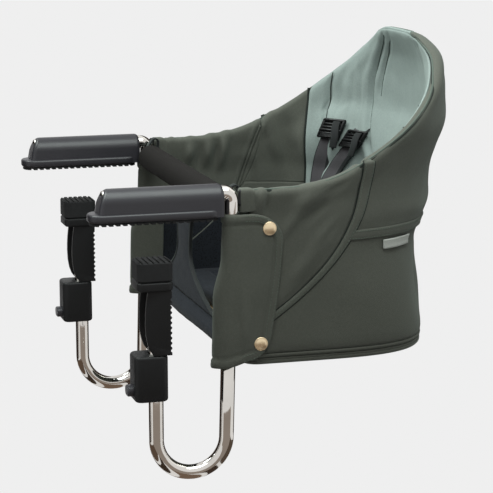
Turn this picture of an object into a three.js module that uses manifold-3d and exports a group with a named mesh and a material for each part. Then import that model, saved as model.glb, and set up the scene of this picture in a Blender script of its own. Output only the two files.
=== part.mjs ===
// Hook-on table chair for a small child: two arms grip the table top from above and two sprung
// ratchet clamps press against it from below, with a padded fabric seat hung behind them.
// Millimetres, +Z up. The origin is on the table-top plane, at the table edge, midway between the arms.
// +X is the child's left, -Y points to the table.

import * as THREE from 'three';
import { mergeVertices } from 'three/addons/utils/BufferGeometryUtils.js';
import Module from 'manifold-3d';

const wasm = await Module();
wasm.setup();

// Driving sizes
const sideHalf = 200;
const tableThickness = 40;
const seatGap = 0.3;
const cutOverrun = 1;
const cutLong = 400;

// Tubes
const tubeOuter = 16;
const tubeWall = 1.5;
const tubeSides = 12;
const bendSteps = 6;
const armHeight = 27.5;
const armFront = -128;
const elbowBend = 9.5;
const postTopY = 13;
const postFootY = 5.4;
const postFootZ = -236;
const postBottom = -160;
const stemY = -72;
const stemTop = -118;
const uBottom = -275;
const uBend = 38;

// Swivel between the post and the clamp arm
const spigotUp = 46;
const spigotDown = 34;
const spigotChamfer = 1.5;
const grooveDepth = 2;
const grooveHeight = 5;
const grooveUp = 26;
const retainPinRadius = 2;
const retainPinHead = 3;
const retainPinHeadHeight = 1.2;

// Cross bar and foam sleeve
const crossHeight = 10.5;
const foamRadius = 15.5;
const foamEndInset = 20;
const foamHalfLength = sideHalf - foamEndInset;
const foamRound = 3;
const foamSides = 16;
const lowerCrossHeight = -132;
const lowerCrossRadius = 7;
const rollRadius = 9.4;
const rollEndInset = 13;
const rollHalfLength = sideHalf - rollEndInset;
const rollRound = 0.8;
const keeperWidth = 9;
const keeperWall = 1.8;
const keeperLobeRadius = 5;
const keeperLobeUp = 18;
const keeperLobeBack = 7;

// Arm grip
const gripOverArm = 10;
const gripTop = armHeight + gripOverArm;
const gripHalfWidth = 15;
const gripFrontLow = -135;
const gripFrontHigh = -126;
const gripRear = 1.9;
const gripEdge = 2;
const soleHeight = 3;
const flangeTop = 12;
const flangeHalfWidth = 17.5;
const flangeFront = -143;
const flangeRear = -1;
const flangeEdge = 2.5;
const soleInset = 2;
const ribPitch = 7.5;
const ribGapWidth = 3.2;
const ribDepth = 1.6;

// Clamp unit
const clampHalfWidth = 18;
const housingFront = -97.5;
const housingRear = -61.2;
const housingBottom = -191;
const housingTop = -141;
const housingCorner = 6;
const housingEdge = 2;
const cavityHalfWidth = 11.2;
const cavityFront = -93.5;
const cavityBottom = -187;
const cavityTop = -144;
const postHalfWidth = 17;
const flankWall = 4;
const flankFrontTop = -83;
const flankBelly = -86;
const flankFrontLow = -77;
const flankLowRound = 8;
const spineRear = -57.5;
const spineWall = 4.5;
const toothPitch = 5.5;
const toothDepth = 1.4;
const plateFront = -94;
const plateRear = -55.5;
const plateHalfWidth = 19;
const plateCorner = 7;
const plateBottom = -71.5;
const plateTop = -61.5;
const plateEdge = 1.5;
const padEdge = 1.5;
const padGrooveWidth = 2.4;
const padGrooveDepth = 1.5;
const padGroovePitch = 6;
const stemCapHeight = 2;
const stemCapPlug = 8;
const slotHalfWidth = 4;
const slotHeight = 3;
const slotPitch = 8;
const slotBottom = -190;
const slotTop = -128;

// Release button and pawl
const buttonHeight = -180;
const buttonHalfWidth = 8;
const buttonHalfHeight = 6;
const buttonFront = -104;
const buttonRear = -90.6;
const buttonFlange = 1.4;
const buttonFlangeDepth = 1.6;
const buttonTravel = 2.4;
const buttonEdge = 1;
const pawlPivotZ = -160;
const pawlHalfWidth = 4;
const pawlWall = 3;
const pawlPivotY = buttonRear + buttonTravel + seatGap + pawlWall / 2;
const pawlHub = 3.4;
const pawlRise = 11;
const pawlNose = 4.5;
const pawlPinRadius = 1.5;
const pawlPinHalfLength = 14;
const springWire = 0.5;
const springRadius = 3.2;
const springTurns = 4;
const springPitch = 1.35;
const springSteps = 8;
const springSides = 5;

// Seat cover outline and heights
const coverOut = 4;
const coverHalfWidth = sideHalf + coverOut;
const coverStraight = 90;
const coverFrontY = 31;
const lowerRear = 263;
const lowerPowerShare = 3.6;
const upperRear = 279;
const upperPowerShare = 2.1;
const planLowZ = -100;
const planHighZ = 40;
const panelWall = 7;
const panelBottom = -149;
const rimFrontZ = 30;
const rimRearZ = 174;
const rimRiseFrontShare = 0.96;
const rimRiseRearShare = 0.12;
const rimRisePowerShare = 1.6;
const rimRadius = 6;
const hoopRadius = 3.5;
const hoopSides = 6;
const waistZ = -28;
const profileHeights = [-149, -125, -100, -75, -55, -40, -30, -18, -6, 10, 30, 55, 80, 105, 130, 155, 180];
const profileOuts = [-0.5, -3.5, -7, -8.5, -8, -6, 0, 5, 9.5, 10, 12, 19.5, 28, 28.5, 27, 19.5, -4];
const profileFadeFrontShare = 0.8;
const profileFadeRearShare = 0.36;
const seamTopZ = 50;
const seamTopShare = 0.655;
const seamSweepShare = 0.458;
const seamLimitShare = 0.955;
const seamPowerShare = 2.1;
const backPadGap = 2.4;
const backPadWall = 11;
const backPadEdgeWall = 4;
const backPadHalfShare = 0.5;
const backPadBottom = -118;
const channelMiddleShare = 0.25;
const channelEndShare = 0.16;
const channelMiddleZ = 95;
const channelTopZ = 160;
const channelLowZ = 5;
const channelWidthShare = 0.03;
const channelDepth = 5;
const backPadColumns = 30;
const backPadRows = 14;

// Seat base
const trayBottom = -162;
const trayTop = -154;
const trayInset = 3;
const trayEdge = 3;
const pipingRadius = 2.4;
const pipingDrop = 2.7;
const boardWall = 5;
const boardInset = 9;
const baseFrontY = 24;
const baseFrontRound = 16;
const seatPadHeight = 20;
const seatPadCrown = 5;
const seatPadBulge = 3;
const seatPadChannelDepth = 4;
const seatPadInset = 16;
// Rings of the seat pad: plan size, then shares of the height, channel depth and crown
const seatPadRingShares = [
  [1, 0, 0, 0],
  [1, 0.45, 0, 0],
  [0.985, 0.75, 0, 0],
  [0.94, 1, 0, 0],
  [0.82, 1, 0, 0],
  [0.79, 1, 1, 0],
  [0.76, 1, 0, 0],
  [0.6, 1, 0, 0.6],
  [0.3, 1, 0, 0.9],
];

// Front apron, crotch panel and flaps
const apronWall = 2;
const apronFromAngle = -130;
const apronToAngle = -60;
const crotchWall = 3;
const crotchTopHalf = 34;
const crotchWaistHalf = 26;
const crotchBottomHalf = 75;
const flapWall = 1.8;
const flapRearOut = 1.3;
const flapRearX = coverHalfWidth + flapRearOut;
const flapTop = 4;
const flapRearTopY = 68;
const flapRearLowY = 56;
const flapCornerRadius = 26;
const flapFrontBottom = -165;
const flapRearBottom = -148;
const flapInsideY = 22;
const flapTurnSteps = 6;
const flapRows = 6;
const flapFoldOut = 8;
const flapFoldTop = -42;
const flapFoldRise = 44;
const flapFrontClear = 1.5;
const studRadius = 7.5;
const studCap = 2.4;
const studShank = 2;
const studDomeShare = 0.75;
const studShoulderShare = 0.85;
const studBack = 5;
const studBackHeight = 0.6;
const studSides = 12;
const studPlaces = { upper: [52, -12], lower: [42, -137] };

// Hoop sockets
const socketHalfWidth = 6.5;
const socketCorner = 2.5;
const socketUnderHoop = 13.2;
const socketHeight = 20;
const socketEdge = 1.5;

// Harness
const webHalfWidth = 12.5;
const webWall = 1.8;
const webColumns = 2;
const webRows = 14;
const webGap = 1.2;
const webLifts = [0, 3];
const webTopShares = [-0.38, -0.262];
const webFootShares = [-0.435, -0.38];
const webTops = [60, 51];
const webLeanHeight = 75;
const webBottomZ = -110;
const adjusterGap = 0.6;
const adjusterHeight = 26;
const adjusterHalfWidth = 17;
const adjusterWall = 7;
const adjusterDrop = 16;

const tubeRadius = tubeOuter / 2;
const tubeBore = tubeRadius - tubeWall;
const postLean = (postTopY - postFootY) / (armHeight - postFootZ);
const leanAngle = Math.atan(postLean);
const postY = (z) => postTopY + (z - armHeight) * postLean;
const clampTopZ = -tableThickness;

// Materials
const finish = (color, roughness, metalness) => ({ color, roughness, metalness });
const chrome = finish(0xd5d2cd, 0.12, 1);
const steel = finish(0x8f9194, 0.35, 1);
const brass = finish(0xc9a572, 0.3, 1);
const blackPlastic = finish(0x26262a, 0.42, 0);
const housingPlastic = finish(0x1c1d20, 0.5, 0);
const rubber = finish(0x17181a, 0.8, 0);
const foam = finish(0x1d1a1b, 0.9, 0);
const fabric = finish(0x474c44, 0.95, 0);
const innerFabric = finish(0x6f837a, 0.95, 0);
const mesh = finish(0x22262c, 0.95, 0);
const webbing = finish(0x35343a, 0.9, 0);
const board = finish(0x9c8562, 0.8, 0);

const chair = new THREE.Group();

// Geometry helpers

function signedVolume(geometry) {
  const position = geometry.attributes.position;
  const index = geometry.index.array;
  const [a, b, c] = [new THREE.Vector3(), new THREE.Vector3(), new THREE.Vector3()];
  let volume = 0;
  for (let i = 0; i < index.length; i += 3) {
    a.fromBufferAttribute(position, index[i]);
    b.fromBufferAttribute(position, index[i + 1]);
    c.fromBufferAttribute(position, index[i + 2]);
    volume += a.dot(b.cross(c));
  }
  return volume;
}

// Keeps positions only, joins shared vertices and turns the faces outwards.
function closed(geometry) {
  geometry.deleteAttribute('normal');
  geometry.deleteAttribute('uv');
  const merged = mergeVertices(geometry);
  if (signedVolume(merged) < 0) {
    const index = merged.index.array;
    for (let i = 0; i < index.length; i += 3) {
      [index[i], index[i + 1]] = [index[i + 1], index[i]];
    }
  }
  return merged;
}

function toSolid(geometry) {
  const clean = closed(geometry);
  const vertProperties = new Float32Array(clean.attributes.position.array);
  const triVerts = new Uint32Array(clean.index.array);
  return new wasm.Manifold(new wasm.Mesh({ numProp: 3, vertProperties, triVerts }));
}

function toGeometry(solid) {
  const { vertProperties, triVerts } = solid.getMesh();
  const geometry = new THREE.BufferGeometry();
  geometry.setAttribute('position', new THREE.BufferAttribute(vertProperties, 3));
  geometry.setIndex(new THREE.BufferAttribute(triVerts, 1));
  return geometry;
}

function add(name, geometry, material, position = [0, 0, 0], rotation = [0, 0, 0]) {
  const piece = closed(geometry);
  piece.computeVertexNormals();
  const item = new THREE.Mesh(piece, new THREE.MeshStandardMaterial(material));
  item.name = name;
  item.position.set(...position);
  item.rotation.set(...rotation);
  chair.add(item);
}

// Adds a left piece and its mirror image. The geometry is given with the side plane at x = 0.
function addPair(name, geometry, material) {
  for (const [side, sign] of [['left', 1], ['right', -1]]) {
    const copy = geometry.clone();
    copy.scale(sign, 1, 1);
    add(`${name}_${side}`, copy, material, [sign * sideHalf, 0, 0]);
  }
}

function circlePoints(radius, sides) {
  const points = [];
  for (let i = 0; i < sides; i += 1) {
    const angle = (2 * Math.PI * i) / sides;
    points.push(new THREE.Vector2(radius * Math.cos(angle), radius * Math.sin(angle)));
  }
  return points;
}

function ringShape(radius, bore, sides) {
  const shape = new THREE.Shape(circlePoints(radius, sides));
  if (bore > 0) shape.holes.push(new THREE.Path(circlePoints(bore, sides)));
  return shape;
}

// The radius whose flats clear a round of the given radius by the seating gap.
const clearRadius = (radius, sides) => (radius + seatGap) / Math.cos(Math.PI / sides);

// A path whose rings sit only at given stations, so straight runs take one step.
class StationPath extends THREE.Curve {
  constructor(points, tangents) {
    super();
    this.points = points;
    this.tangents = tangents;
  }

  station(list, share) {
    return list[Math.round(share * (list.length - 1))].clone();
  }

  getPointAt(share, target = new THREE.Vector3()) {
    return target.copy(this.station(this.points, share));
  }

  getTangentAt(share, target = new THREE.Vector3()) {
    return target.copy(this.station(this.tangents, share));
  }
}

// Rounds the inner corners of a route with arcs of one radius.
function roundedRoute(corners, radius, steps) {
  const points = [corners[0].clone()];
  const tangents = [corners[1].clone().sub(corners[0]).normalize()];
  for (let i = 1; i < corners.length - 1; i += 1) {
    const before = corners[i].clone().sub(corners[i - 1]).normalize();
    const after = corners[i + 1].clone().sub(corners[i]).normalize();
    const turn = before.angleTo(after);
    const start = corners[i].clone().addScaledVector(before, -radius * Math.tan(turn / 2));
    const inward = after.clone().addScaledVector(before, -after.dot(before)).normalize();
    for (let k = 0; k <= steps; k += 1) {
      const angle = (turn * k) / steps;
      const point = start.clone();
      point.addScaledVector(before, radius * Math.sin(angle));
      point.addScaledVector(inward, radius * (1 - Math.cos(angle)));
      points.push(point);
      const tangent = before.clone().multiplyScalar(Math.cos(angle));
      tangents.push(tangent.addScaledVector(inward, Math.sin(angle)));
    }
  }
  points.push(corners.at(-1).clone());
  tangents.push(corners.at(-1).clone().sub(corners.at(-2)).normalize());
  return new StationPath(points, tangents);
}

function pathThrough(points) {
  const tangents = points.map((point, i) => {
    const next = points[Math.min(i + 1, points.length - 1)];
    const last = points[Math.max(i - 1, 0)];
    return next.clone().sub(last).normalize();
  });
  return new StationPath(points, tangents);
}

function sweep(shape, path) {
  return new THREE.ExtrudeGeometry(shape, {
    steps: path.points.length - 1,
    bevelEnabled: false,
    extrudePath: path,
  });
}

// Extrudes a shape along Z between two heights, with rounded edges kept inside them.
function prism(shape, low, high, edge = 0, segments = 1) {
  const geometry = new THREE.ExtrudeGeometry(shape, {
    depth: high - low - 2 * edge,
    bevelEnabled: edge > 0,
    bevelSize: edge,
    bevelOffset: -edge,
    bevelThickness: edge,
    bevelSegments: segments,
    curveSegments: 4,
  });
  geometry.translate(0, 0, low + edge);
  return geometry;
}

// Extrudes a (y, z) outline along X.
function slice(shape, halfWidth, edge = 0) {
  const geometry = prism(shape, -halfWidth, halfWidth, edge);
  geometry.rotateX(Math.PI / 2);
  geometry.rotateZ(Math.PI / 2);
  return geometry;
}

function box(low, high) {
  const size = high.map((value, i) => value - low[i]);
  const geometry = new THREE.BoxGeometry(...size);
  geometry.translate(...low.map((value, i) => value + size[i] / 2));
  return geometry;
}

function roundedRect(x0, y0, x1, y1, radius) {
  const shape = new THREE.Shape();
  shape.moveTo(x0 + radius, y0);
  shape.lineTo(x1 - radius, y0);
  shape.absarc(x1 - radius, y0 + radius, radius, -Math.PI / 2, 0);
  shape.lineTo(x1, y1 - radius);
  shape.absarc(x1 - radius, y1 - radius, radius, 0, Math.PI / 2);
  shape.lineTo(x0 + radius, y1);
  shape.absarc(x0 + radius, y1 - radius, radius, Math.PI / 2, Math.PI);
  shape.lineTo(x0, y0 + radius);
  shape.absarc(x0 + radius, y0 + radius, radius, Math.PI, 1.5 * Math.PI);
  return shape;
}

// A round bar along X, Y or Z between two stations.
function bar(axis, radius, from, to, sides, centre = [0, 0, 0]) {
  const geometry = new THREE.CylinderGeometry(radius, radius, to - from, sides);
  const middle = (from + to) / 2;
  if (axis === 'x') geometry.rotateZ(Math.PI / 2);
  if (axis === 'z') geometry.rotateX(Math.PI / 2);
  const shift = { x: [middle, 0, 0], y: [0, middle, 0], z: [0, 0, middle] }[axis];
  geometry.translate(...shift.map((value, i) => value + centre[i]));
  return geometry;
}

// A turned piece about Z from a closed (radius, z) profile that starts and ends on the axis.
function turned(profile, sides) {
  const geometry = new THREE.LatheGeometry(profile.map(([r, z]) => new THREE.Vector2(r, z)), sides);
  geometry.rotateX(Math.PI / 2);
  return geometry;
}

// A closed sheet or pad between two faces, each given over column and row shares.
function sheet(columns, rows, faceA, faceB) {
  const positions = [];
  const index = [];
  const width = columns + 1;
  const layer = width * (rows + 1);
  for (const face of [faceA, faceB]) {
    for (let r = 0; r <= rows; r += 1) {
      for (let c = 0; c <= columns; c += 1) positions.push(...face(c / columns, r / rows));
    }
  }
  const quad = (a, b, c, d) => index.push(a, b, c, a, c, d);
  for (let r = 0; r < rows; r += 1) {
    for (let c = 0; c < columns; c += 1) {
      const a = r * width + c;
      quad(a, a + 1, a + width + 1, a + width);
      quad(layer + a, layer + a + width, layer + a + width + 1, layer + a + 1);
    }
  }
  for (let c = 0; c < columns; c += 1) {
    const top = rows * width + c;
    quad(c, layer + c, layer + c + 1, c + 1);
    quad(top, top + 1, layer + top + 1, layer + top);
  }
  for (let r = 0; r < rows; r += 1) {
    const left = r * width;
    const right = left + columns;
    quad(left, left + width, layer + left + width, layer + left);
    quad(right, layer + right, layer + right + width, right + width);
  }
  const geometry = new THREE.BufferGeometry();
  geometry.setAttribute('position', new THREE.BufferAttribute(new Float32Array(positions), 3));
  geometry.setIndex(index);
  return geometry;
}

const lerp = THREE.MathUtils.lerp;
const smooth = (value) => THREE.MathUtils.smoothstep(value, 0, 1);
const bump = (value) => (Math.abs(value) < 1 ? Math.cos((Math.PI * value) / 2) ** 2 : 0);

// Frame tubes

function postAxisPoint(z) {
  return new THREE.Vector3(0, postY(z), z);
}

function postSolid(radius) {
  const path = pathThrough([postAxisPoint(uBottom), postAxisPoint(armHeight + tubeOuter)]);
  return toSolid(sweep(ringShape(radius, 0, tubeSides), path));
}

function retainPinPlace() {
  return postAxisPoint(postBottom + grooveUp);
}

function buildSideTubes() {
  const elbow = new THREE.Vector3(0, postTopY, armHeight);
  const front = new THREE.Vector3(0, armFront, armHeight);
  const route = roundedRoute([front, elbow, postAxisPoint(postBottom)], elbowBend, bendSteps);
  const tube = toSolid(sweep(ringShape(tubeRadius, tubeBore, tubeSides), route));
  const place = retainPinPlace();
  const holeRadius = clearRadius(retainPinRadius, tubeSides);
  const hole = bar('y', holeRadius, place.y, place.y + tubeOuter, tubeSides, [0, 0, place.z]);
  addPair('side_tube', toGeometry(tube.subtract(toSolid(hole))), chrome);
}

function buildClampArms() {
  const rear = postAxisPoint(postBottom - seatGap);
  const corners = [rear, postAxisPoint(uBottom), new THREE.Vector3(0, stemY, uBottom)];
  corners.push(new THREE.Vector3(0, stemY, stemTop));
  const route = roundedRoute(corners, uBend, bendSteps);
  let tube = toSolid(sweep(ringShape(tubeRadius, tubeBore, tubeSides), route));
  for (let z = slotBottom; z <= slotTop; z += slotPitch) {
    const low = [-slotHalfWidth, stemY - tubeOuter, z];
    const high = [slotHalfWidth, stemY - tubeBore / 2, z + slotHeight];
    tube = tube.subtract(toSolid(box(low, high)));
  }
  addPair('clamp_arm', toGeometry(tube), chrome);
}

function buildSwivels() {
  const radius = tubeBore * Math.cos(Math.PI / tubeSides) - seatGap;
  const grooveLow = grooveUp - grooveHeight / 2;
  const grooveHigh = grooveUp + grooveHeight / 2;
  const spigot = turned([
    [0, -spigotDown],
    [radius - spigotChamfer, -spigotDown],
    [radius, -spigotDown + spigotChamfer],
    [radius, grooveLow],
    [radius - grooveDepth, grooveLow],
    [radius - grooveDepth, grooveHigh],
    [radius, grooveHigh],
    [radius, spigotUp - spigotChamfer],
    [radius - spigotChamfer, spigotUp],
    [0, spigotUp],
  ], tubeSides);
  spigot.rotateX(-leanAngle);
  spigot.translate(0, postY(postBottom), postBottom);
  addPair('swivel_spigot', spigot, steel);

  const place = retainPinPlace();
  const tip = radius - grooveDepth + seatGap;
  const seat = tubeRadius + seatGap;
  const pin = turned([
    [0, tip],
    [retainPinRadius, tip],
    [retainPinRadius, seat],
    [retainPinHead, seat],
    [retainPinHead, seat + retainPinHeadHeight],
    [0, seat + retainPinHeadHeight],
  ], tubeSides);
  pin.rotateX(-Math.PI / 2);
  pin.translate(0, place.y, place.z);
  addPair('retaining_pin', pin, steel);
}

// The two cross tubes, as their radius and height on the posts.
const upperCross = { radius: tubeRadius, height: crossHeight };
const lowerCross = { radius: lowerCrossRadius, height: lowerCrossHeight };

// A clearance round a cross tube, along its whole length.
function crossSolid({ radius, height }) {
  const clear = clearRadius(radius, tubeSides);
  return toSolid(bar('x', clear, -cutLong, cutLong, tubeSides, [0, postY(height), height]));
}

function addCrossTube(name, { radius, height }) {
  const shape = ringShape(radius, radius - tubeWall, tubeSides);
  const ends = [-sideHalf, sideHalf].map((x) => new THREE.Vector3(x, postY(height), height));
  let tube = toSolid(sweep(shape, pathThrough(ends)));
  for (const x of [-sideHalf, sideHalf]) {
    const post = postSolid(clearRadius(tubeRadius, tubeSides)).translate([x, 0, 0]);
    tube = tube.subtract(post);
  }
  add(name, toGeometry(tube), chrome);
}

// A turned sleeve along X round a cross tube, its ends rounded off.
function addCrossSleeve(name, cross, radius, halfLength, round, material) {
  const bore = clearRadius(cross.radius, foamSides);
  const profile = [
    [bore, -halfLength],
    [radius - round, -halfLength],
    [radius, round - halfLength],
    [radius, halfLength - round],
    [radius - round, halfLength],
    [bore, halfLength],
    [bore, -halfLength],
  ];
  const sleeve = new THREE.LatheGeometry(
    profile.map(([r, h]) => new THREE.Vector2(r, h)), foamSides);
  sleeve.rotateZ(Math.PI / 2);
  add(name, sleeve, material, [0, postY(cross.height), cross.height]);
}

function buildCrossTubes() {
  addCrossTube('cross_tube', upperCross);
  addCrossTube('seat_tube', lowerCross);
  addCrossSleeve('crossbar_sleeve', upperCross, foamRadius, foamHalfLength, foamRound, foam);
  addCrossSleeve('front_roll', lowerCross, rollRadius, rollHalfLength, rollRound, fabric);
}

// Outline round the cross tube and a lobe above and behind it, as one band.
function loopOutline(grow) {
  const y = postY(crossHeight);
  const lobe = [y + keeperLobeBack, crossHeight + keeperLobeUp];
  const large = clearRadius(tubeRadius, tubeSides) + grow;
  const small = keeperLobeRadius - keeperWall + grow;
  const span = Math.hypot(keeperLobeBack, keeperLobeUp);
  const heading = Math.atan2(keeperLobeUp, keeperLobeBack);
  const lean = Math.acos((large - small) / span);
  const shape = new THREE.Shape();
  shape.absarc(y, crossHeight, large, heading + lean, heading - lean + 2 * Math.PI);
  shape.absarc(...lobe, small, heading - lean, heading + lean);
  return shape;
}

function buildKeepers() {
  const shape = loopOutline(keeperWall);
  shape.holes.push(new THREE.Path(loopOutline(0).getPoints(4)));
  const loop = slice(shape, keeperWidth / 2);
  const inner = sideHalf - foamHalfLength;
  loop.translate(-(inner - keeperWidth / 2 - seatGap), 0, 0);
  addPair('keeper_loop', loop, webbing);
}

// Arm grips

function domeShape() {
  const shape = new THREE.Shape();
  shape.moveTo(-gripHalfWidth, soleHeight);
  shape.lineTo(gripHalfWidth, soleHeight);
  shape.absarc(0, gripTop - gripHalfWidth, gripHalfWidth, 0, Math.PI);
  return shape;
}

function buildGrips() {
  const dome = prism(domeShape(), -gripRear, -gripFrontLow + gripEdge, gripEdge);
  dome.rotateX(Math.PI / 2);
  let grip = toSolid(dome);
  const nose = new THREE.Shape();
  const slope = (gripFrontHigh - gripFrontLow) / (gripTop - flangeTop);
  const reach = gripTop - flangeTop + cutOverrun;
  nose.moveTo(gripFrontLow, flangeTop);
  nose.lineTo(gripFrontLow + slope * reach, flangeTop + reach);
  nose.lineTo(flangeFront, flangeTop + reach);
  nose.lineTo(flangeFront, 0);
  nose.lineTo(gripFrontLow, 0);
  grip = grip.subtract(toSolid(slice(nose, gripHalfWidth + cutOverrun)));
  const flange = roundedRect(
    -flangeHalfWidth, flangeFront, flangeHalfWidth, flangeRear, flangeHalfWidth - flangeEdge);
  grip = grip.add(toSolid(prism(flange, soleHeight, flangeTop, flangeEdge, 2)));
  const bore = clearRadius(tubeRadius, tubeSides);
  const tunnel = bar('y', bore, armFront - seatGap, gripRear + cutOverrun, tubeSides, [0, 0, armHeight]);
  grip = grip.subtract(toSolid(tunnel));
  addPair('arm_grip', toGeometry(grip), blackPlastic);
}

function buildSoles() {
  const half = flangeHalfWidth - soleInset;
  const front = flangeFront + soleInset;
  const rear = flangeRear - soleInset;
  const shape = roundedRect(-half, front, half, rear, half - soleInset);
  let sole = toSolid(prism(shape, 0, soleHeight - seatGap));
  const count = Math.floor((rear - front) / ribPitch);
  for (let i = 1; i < count; i += 1) {
    const y = front + i * ribPitch;
    const low = [-cutLong, y, -cutOverrun];
    const high = [cutLong, y + ribGapWidth, ribDepth];
    sole = sole.subtract(toSolid(box(low, high)));
  }
  addPair('grip_sole', toGeometry(sole), rubber);
}

// Clamp units

function buildHousings() {
  const shape = roundedRect(
    -clampHalfWidth, housingFront, clampHalfWidth, housingRear, housingCorner);
  let housing = toSolid(prism(shape, housingBottom, housingTop, housingEdge));
  const bore = clearRadius(tubeRadius, tubeSides);
  const low = housingBottom - cutOverrun;
  const high = housingTop + cutOverrun;
  housing = housing.subtract(toSolid(bar('z', bore, low, high, tubeSides, [0, stemY, 0])));
  const cavity = box(
    [-cavityHalfWidth, cavityFront, cavityBottom], [cavityHalfWidth, stemY, cavityTop]);
  housing = housing.subtract(toSolid(cavity));
  const hole = buttonPrism(seatGap, housingFront - cutOverrun, cavityFront + cutOverrun);
  housing = housing.subtract(toSolid(hole));
  const pinHole = bar(
    'x',
    clearRadius(pawlPinRadius, tubeSides),
    -pawlPinHalfLength - seatGap,
    pawlPinHalfLength + seatGap,
    tubeSides,
    [0, pawlPivotY, pawlPivotZ],
  );
  housing = housing.subtract(toSolid(pinHole));
  addPair('clamp_housing', toGeometry(housing), housingPlastic);
}

// Side view of the open channel above the housing, with the serrated spine at its rear.
function flankShape() {
  const low = housingTop + seatGap;
  const high = plateBottom;
  const shape = new THREE.Shape();
  shape.moveTo(flankFrontTop, high);
  const middle = (low + high) / 2;
  shape.quadraticCurveTo(flankBelly, (middle + high) / 2, flankBelly, middle);
  shape.quadraticCurveTo(flankBelly, low + flankLowRound, flankFrontLow, low);
  shape.lineTo(spineRear, low);
  const count = Math.floor((high - low) / toothPitch) - 1;
  for (let i = 0; i < count; i += 1) {
    const z = low + i * toothPitch + toothPitch / 2;
    shape.lineTo(spineRear, z);
    shape.lineTo(spineRear - toothDepth, z + toothPitch / 4);
    shape.lineTo(spineRear - toothDepth, z + toothPitch / 2);
    shape.lineTo(spineRear, z + (3 * toothPitch) / 4);
  }
  shape.lineTo(spineRear, high);
  return shape;
}

function buildClampPosts() {
  let post = toSolid(slice(flankShape(), postHalfWidth));
  const inner = postHalfWidth - flankWall;
  const low = [-inner, flankBelly - cutOverrun, housingTop - cutOverrun];
  const high = [inner, spineRear - spineWall, plateBottom + cutOverrun];
  post = post.subtract(toSolid(box(low, high)));
  const plate = roundedRect(-plateHalfWidth, plateFront, plateHalfWidth, plateRear, plateCorner);
  post = post.add(toSolid(prism(plate, plateBottom, plateTop, plateEdge)));
  addPair('clamp_post', toGeometry(post), housingPlastic);
}

function buildClampPads() {
  const shape = roundedRect(-plateHalfWidth, plateFront, plateHalfWidth, plateRear, plateCorner);
  let pad = toSolid(prism(shape, plateTop + seatGap, clampTopZ, padEdge));
  const centre = (plateFront + plateRear) / 2;
  const count = Math.floor((plateRear - plateFront) / 2 / padGroovePitch);
  for (let i = -count + 1; i <= count; i += 1) {
    const y = centre + i * padGroovePitch - padGroovePitch / 2;
    const low = [-cutLong, y - padGrooveWidth / 2, clampTopZ - padGrooveDepth];
    const high = [cutLong, y + padGrooveWidth / 2, clampTopZ + cutOverrun];
    pad = pad.subtract(toSolid(box(low, high)));
  }
  addPair('clamp_pad', toGeometry(pad), rubber);
}

function buildStemCaps() {
  const plug = tubeBore * Math.cos(Math.PI / tubeSides) - seatGap;
  const cap = turned([
    [0, -stemCapPlug],
    [plug, -stemCapPlug],
    [plug, seatGap],
    [tubeRadius, seatGap],
    [tubeRadius, stemCapHeight / 2],
    [tubeRadius - stemCapHeight / 2, stemCapHeight],
    [0, stemCapHeight],
  ], tubeSides);
  cap.translate(0, stemY, stemTop);
  addPair('stem_cap', cap, housingPlastic);
}

function buttonPrism(grow, front, rear, edge = 0) {
  const x = buttonHalfWidth + grow;
  const z = buttonHalfHeight + grow;
  const shape = roundedRect(-x, -z, x, z, z - seatGap);
  const geometry = prism(shape, -rear, -front, edge);
  geometry.rotateX(Math.PI / 2);
  geometry.translate(0, 0, buttonHeight);
  return geometry;
}

function buildButtons() {
  const knob = toSolid(buttonPrism(0, buttonFront, cavityFront, buttonEdge));
  const flangeFrontY = cavityFront + seatGap;
  const stop = toSolid(buttonPrism(-buttonEdge, cavityFront - buttonEdge, flangeFrontY + buttonEdge));
  const flange = toSolid(buttonPrism(buttonFlange - buttonEdge, flangeFrontY, buttonRear));
  addPair('release_button', toGeometry(knob.add(stop).add(flange)), blackPlastic);
}

// The pawl's side view: hub on the pin, arm down to the button, arm up to the nose by the stem.
function pawlShape() {
  const front = pawlPivotY - pawlWall / 2;
  const rear = pawlPivotY + pawlWall / 2;
  const noseTip = stemY - tubeRadius - seatGap;
  const top = pawlPivotZ + pawlRise;
  const shape = new THREE.Shape();
  shape.moveTo(front, buttonHeight - pawlWall);
  shape.lineTo(rear, buttonHeight - pawlWall);
  shape.lineTo(rear, pawlPivotZ - pawlHub);
  shape.lineTo(pawlPivotY + pawlHub, pawlPivotZ - pawlHub / 2);
  shape.lineTo(pawlPivotY + pawlHub, pawlPivotZ + pawlHub);
  shape.lineTo(noseTip, top - pawlNose / 2);
  shape.lineTo(noseTip, top);
  shape.lineTo(front, top);
  shape.lineTo(front, pawlPivotZ + pawlHub);
  shape.lineTo(pawlPivotY - pawlHub, pawlPivotZ + pawlHub / 2);
  shape.lineTo(pawlPivotY - pawlHub, pawlPivotZ - pawlHub / 2);
  shape.lineTo(front, pawlPivotZ - pawlHub);
  const hole = circlePoints(clearRadius(pawlPinRadius, tubeSides), tubeSides);
  const centre = new THREE.Vector2(pawlPivotY, pawlPivotZ);
  shape.holes.push(new THREE.Path(hole.map((point) => point.add(centre))));
  return shape;
}

function buildPawls() {
  addPair('pawl', slice(pawlShape(), pawlHalfWidth), steel);
  const centre = [0, pawlPivotY, pawlPivotZ];
  const pin = bar('x', pawlPinRadius, -pawlPinHalfLength, pawlPinHalfLength, tubeSides, centre);
  addPair('pawl_pin', pin, steel);
}

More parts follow.
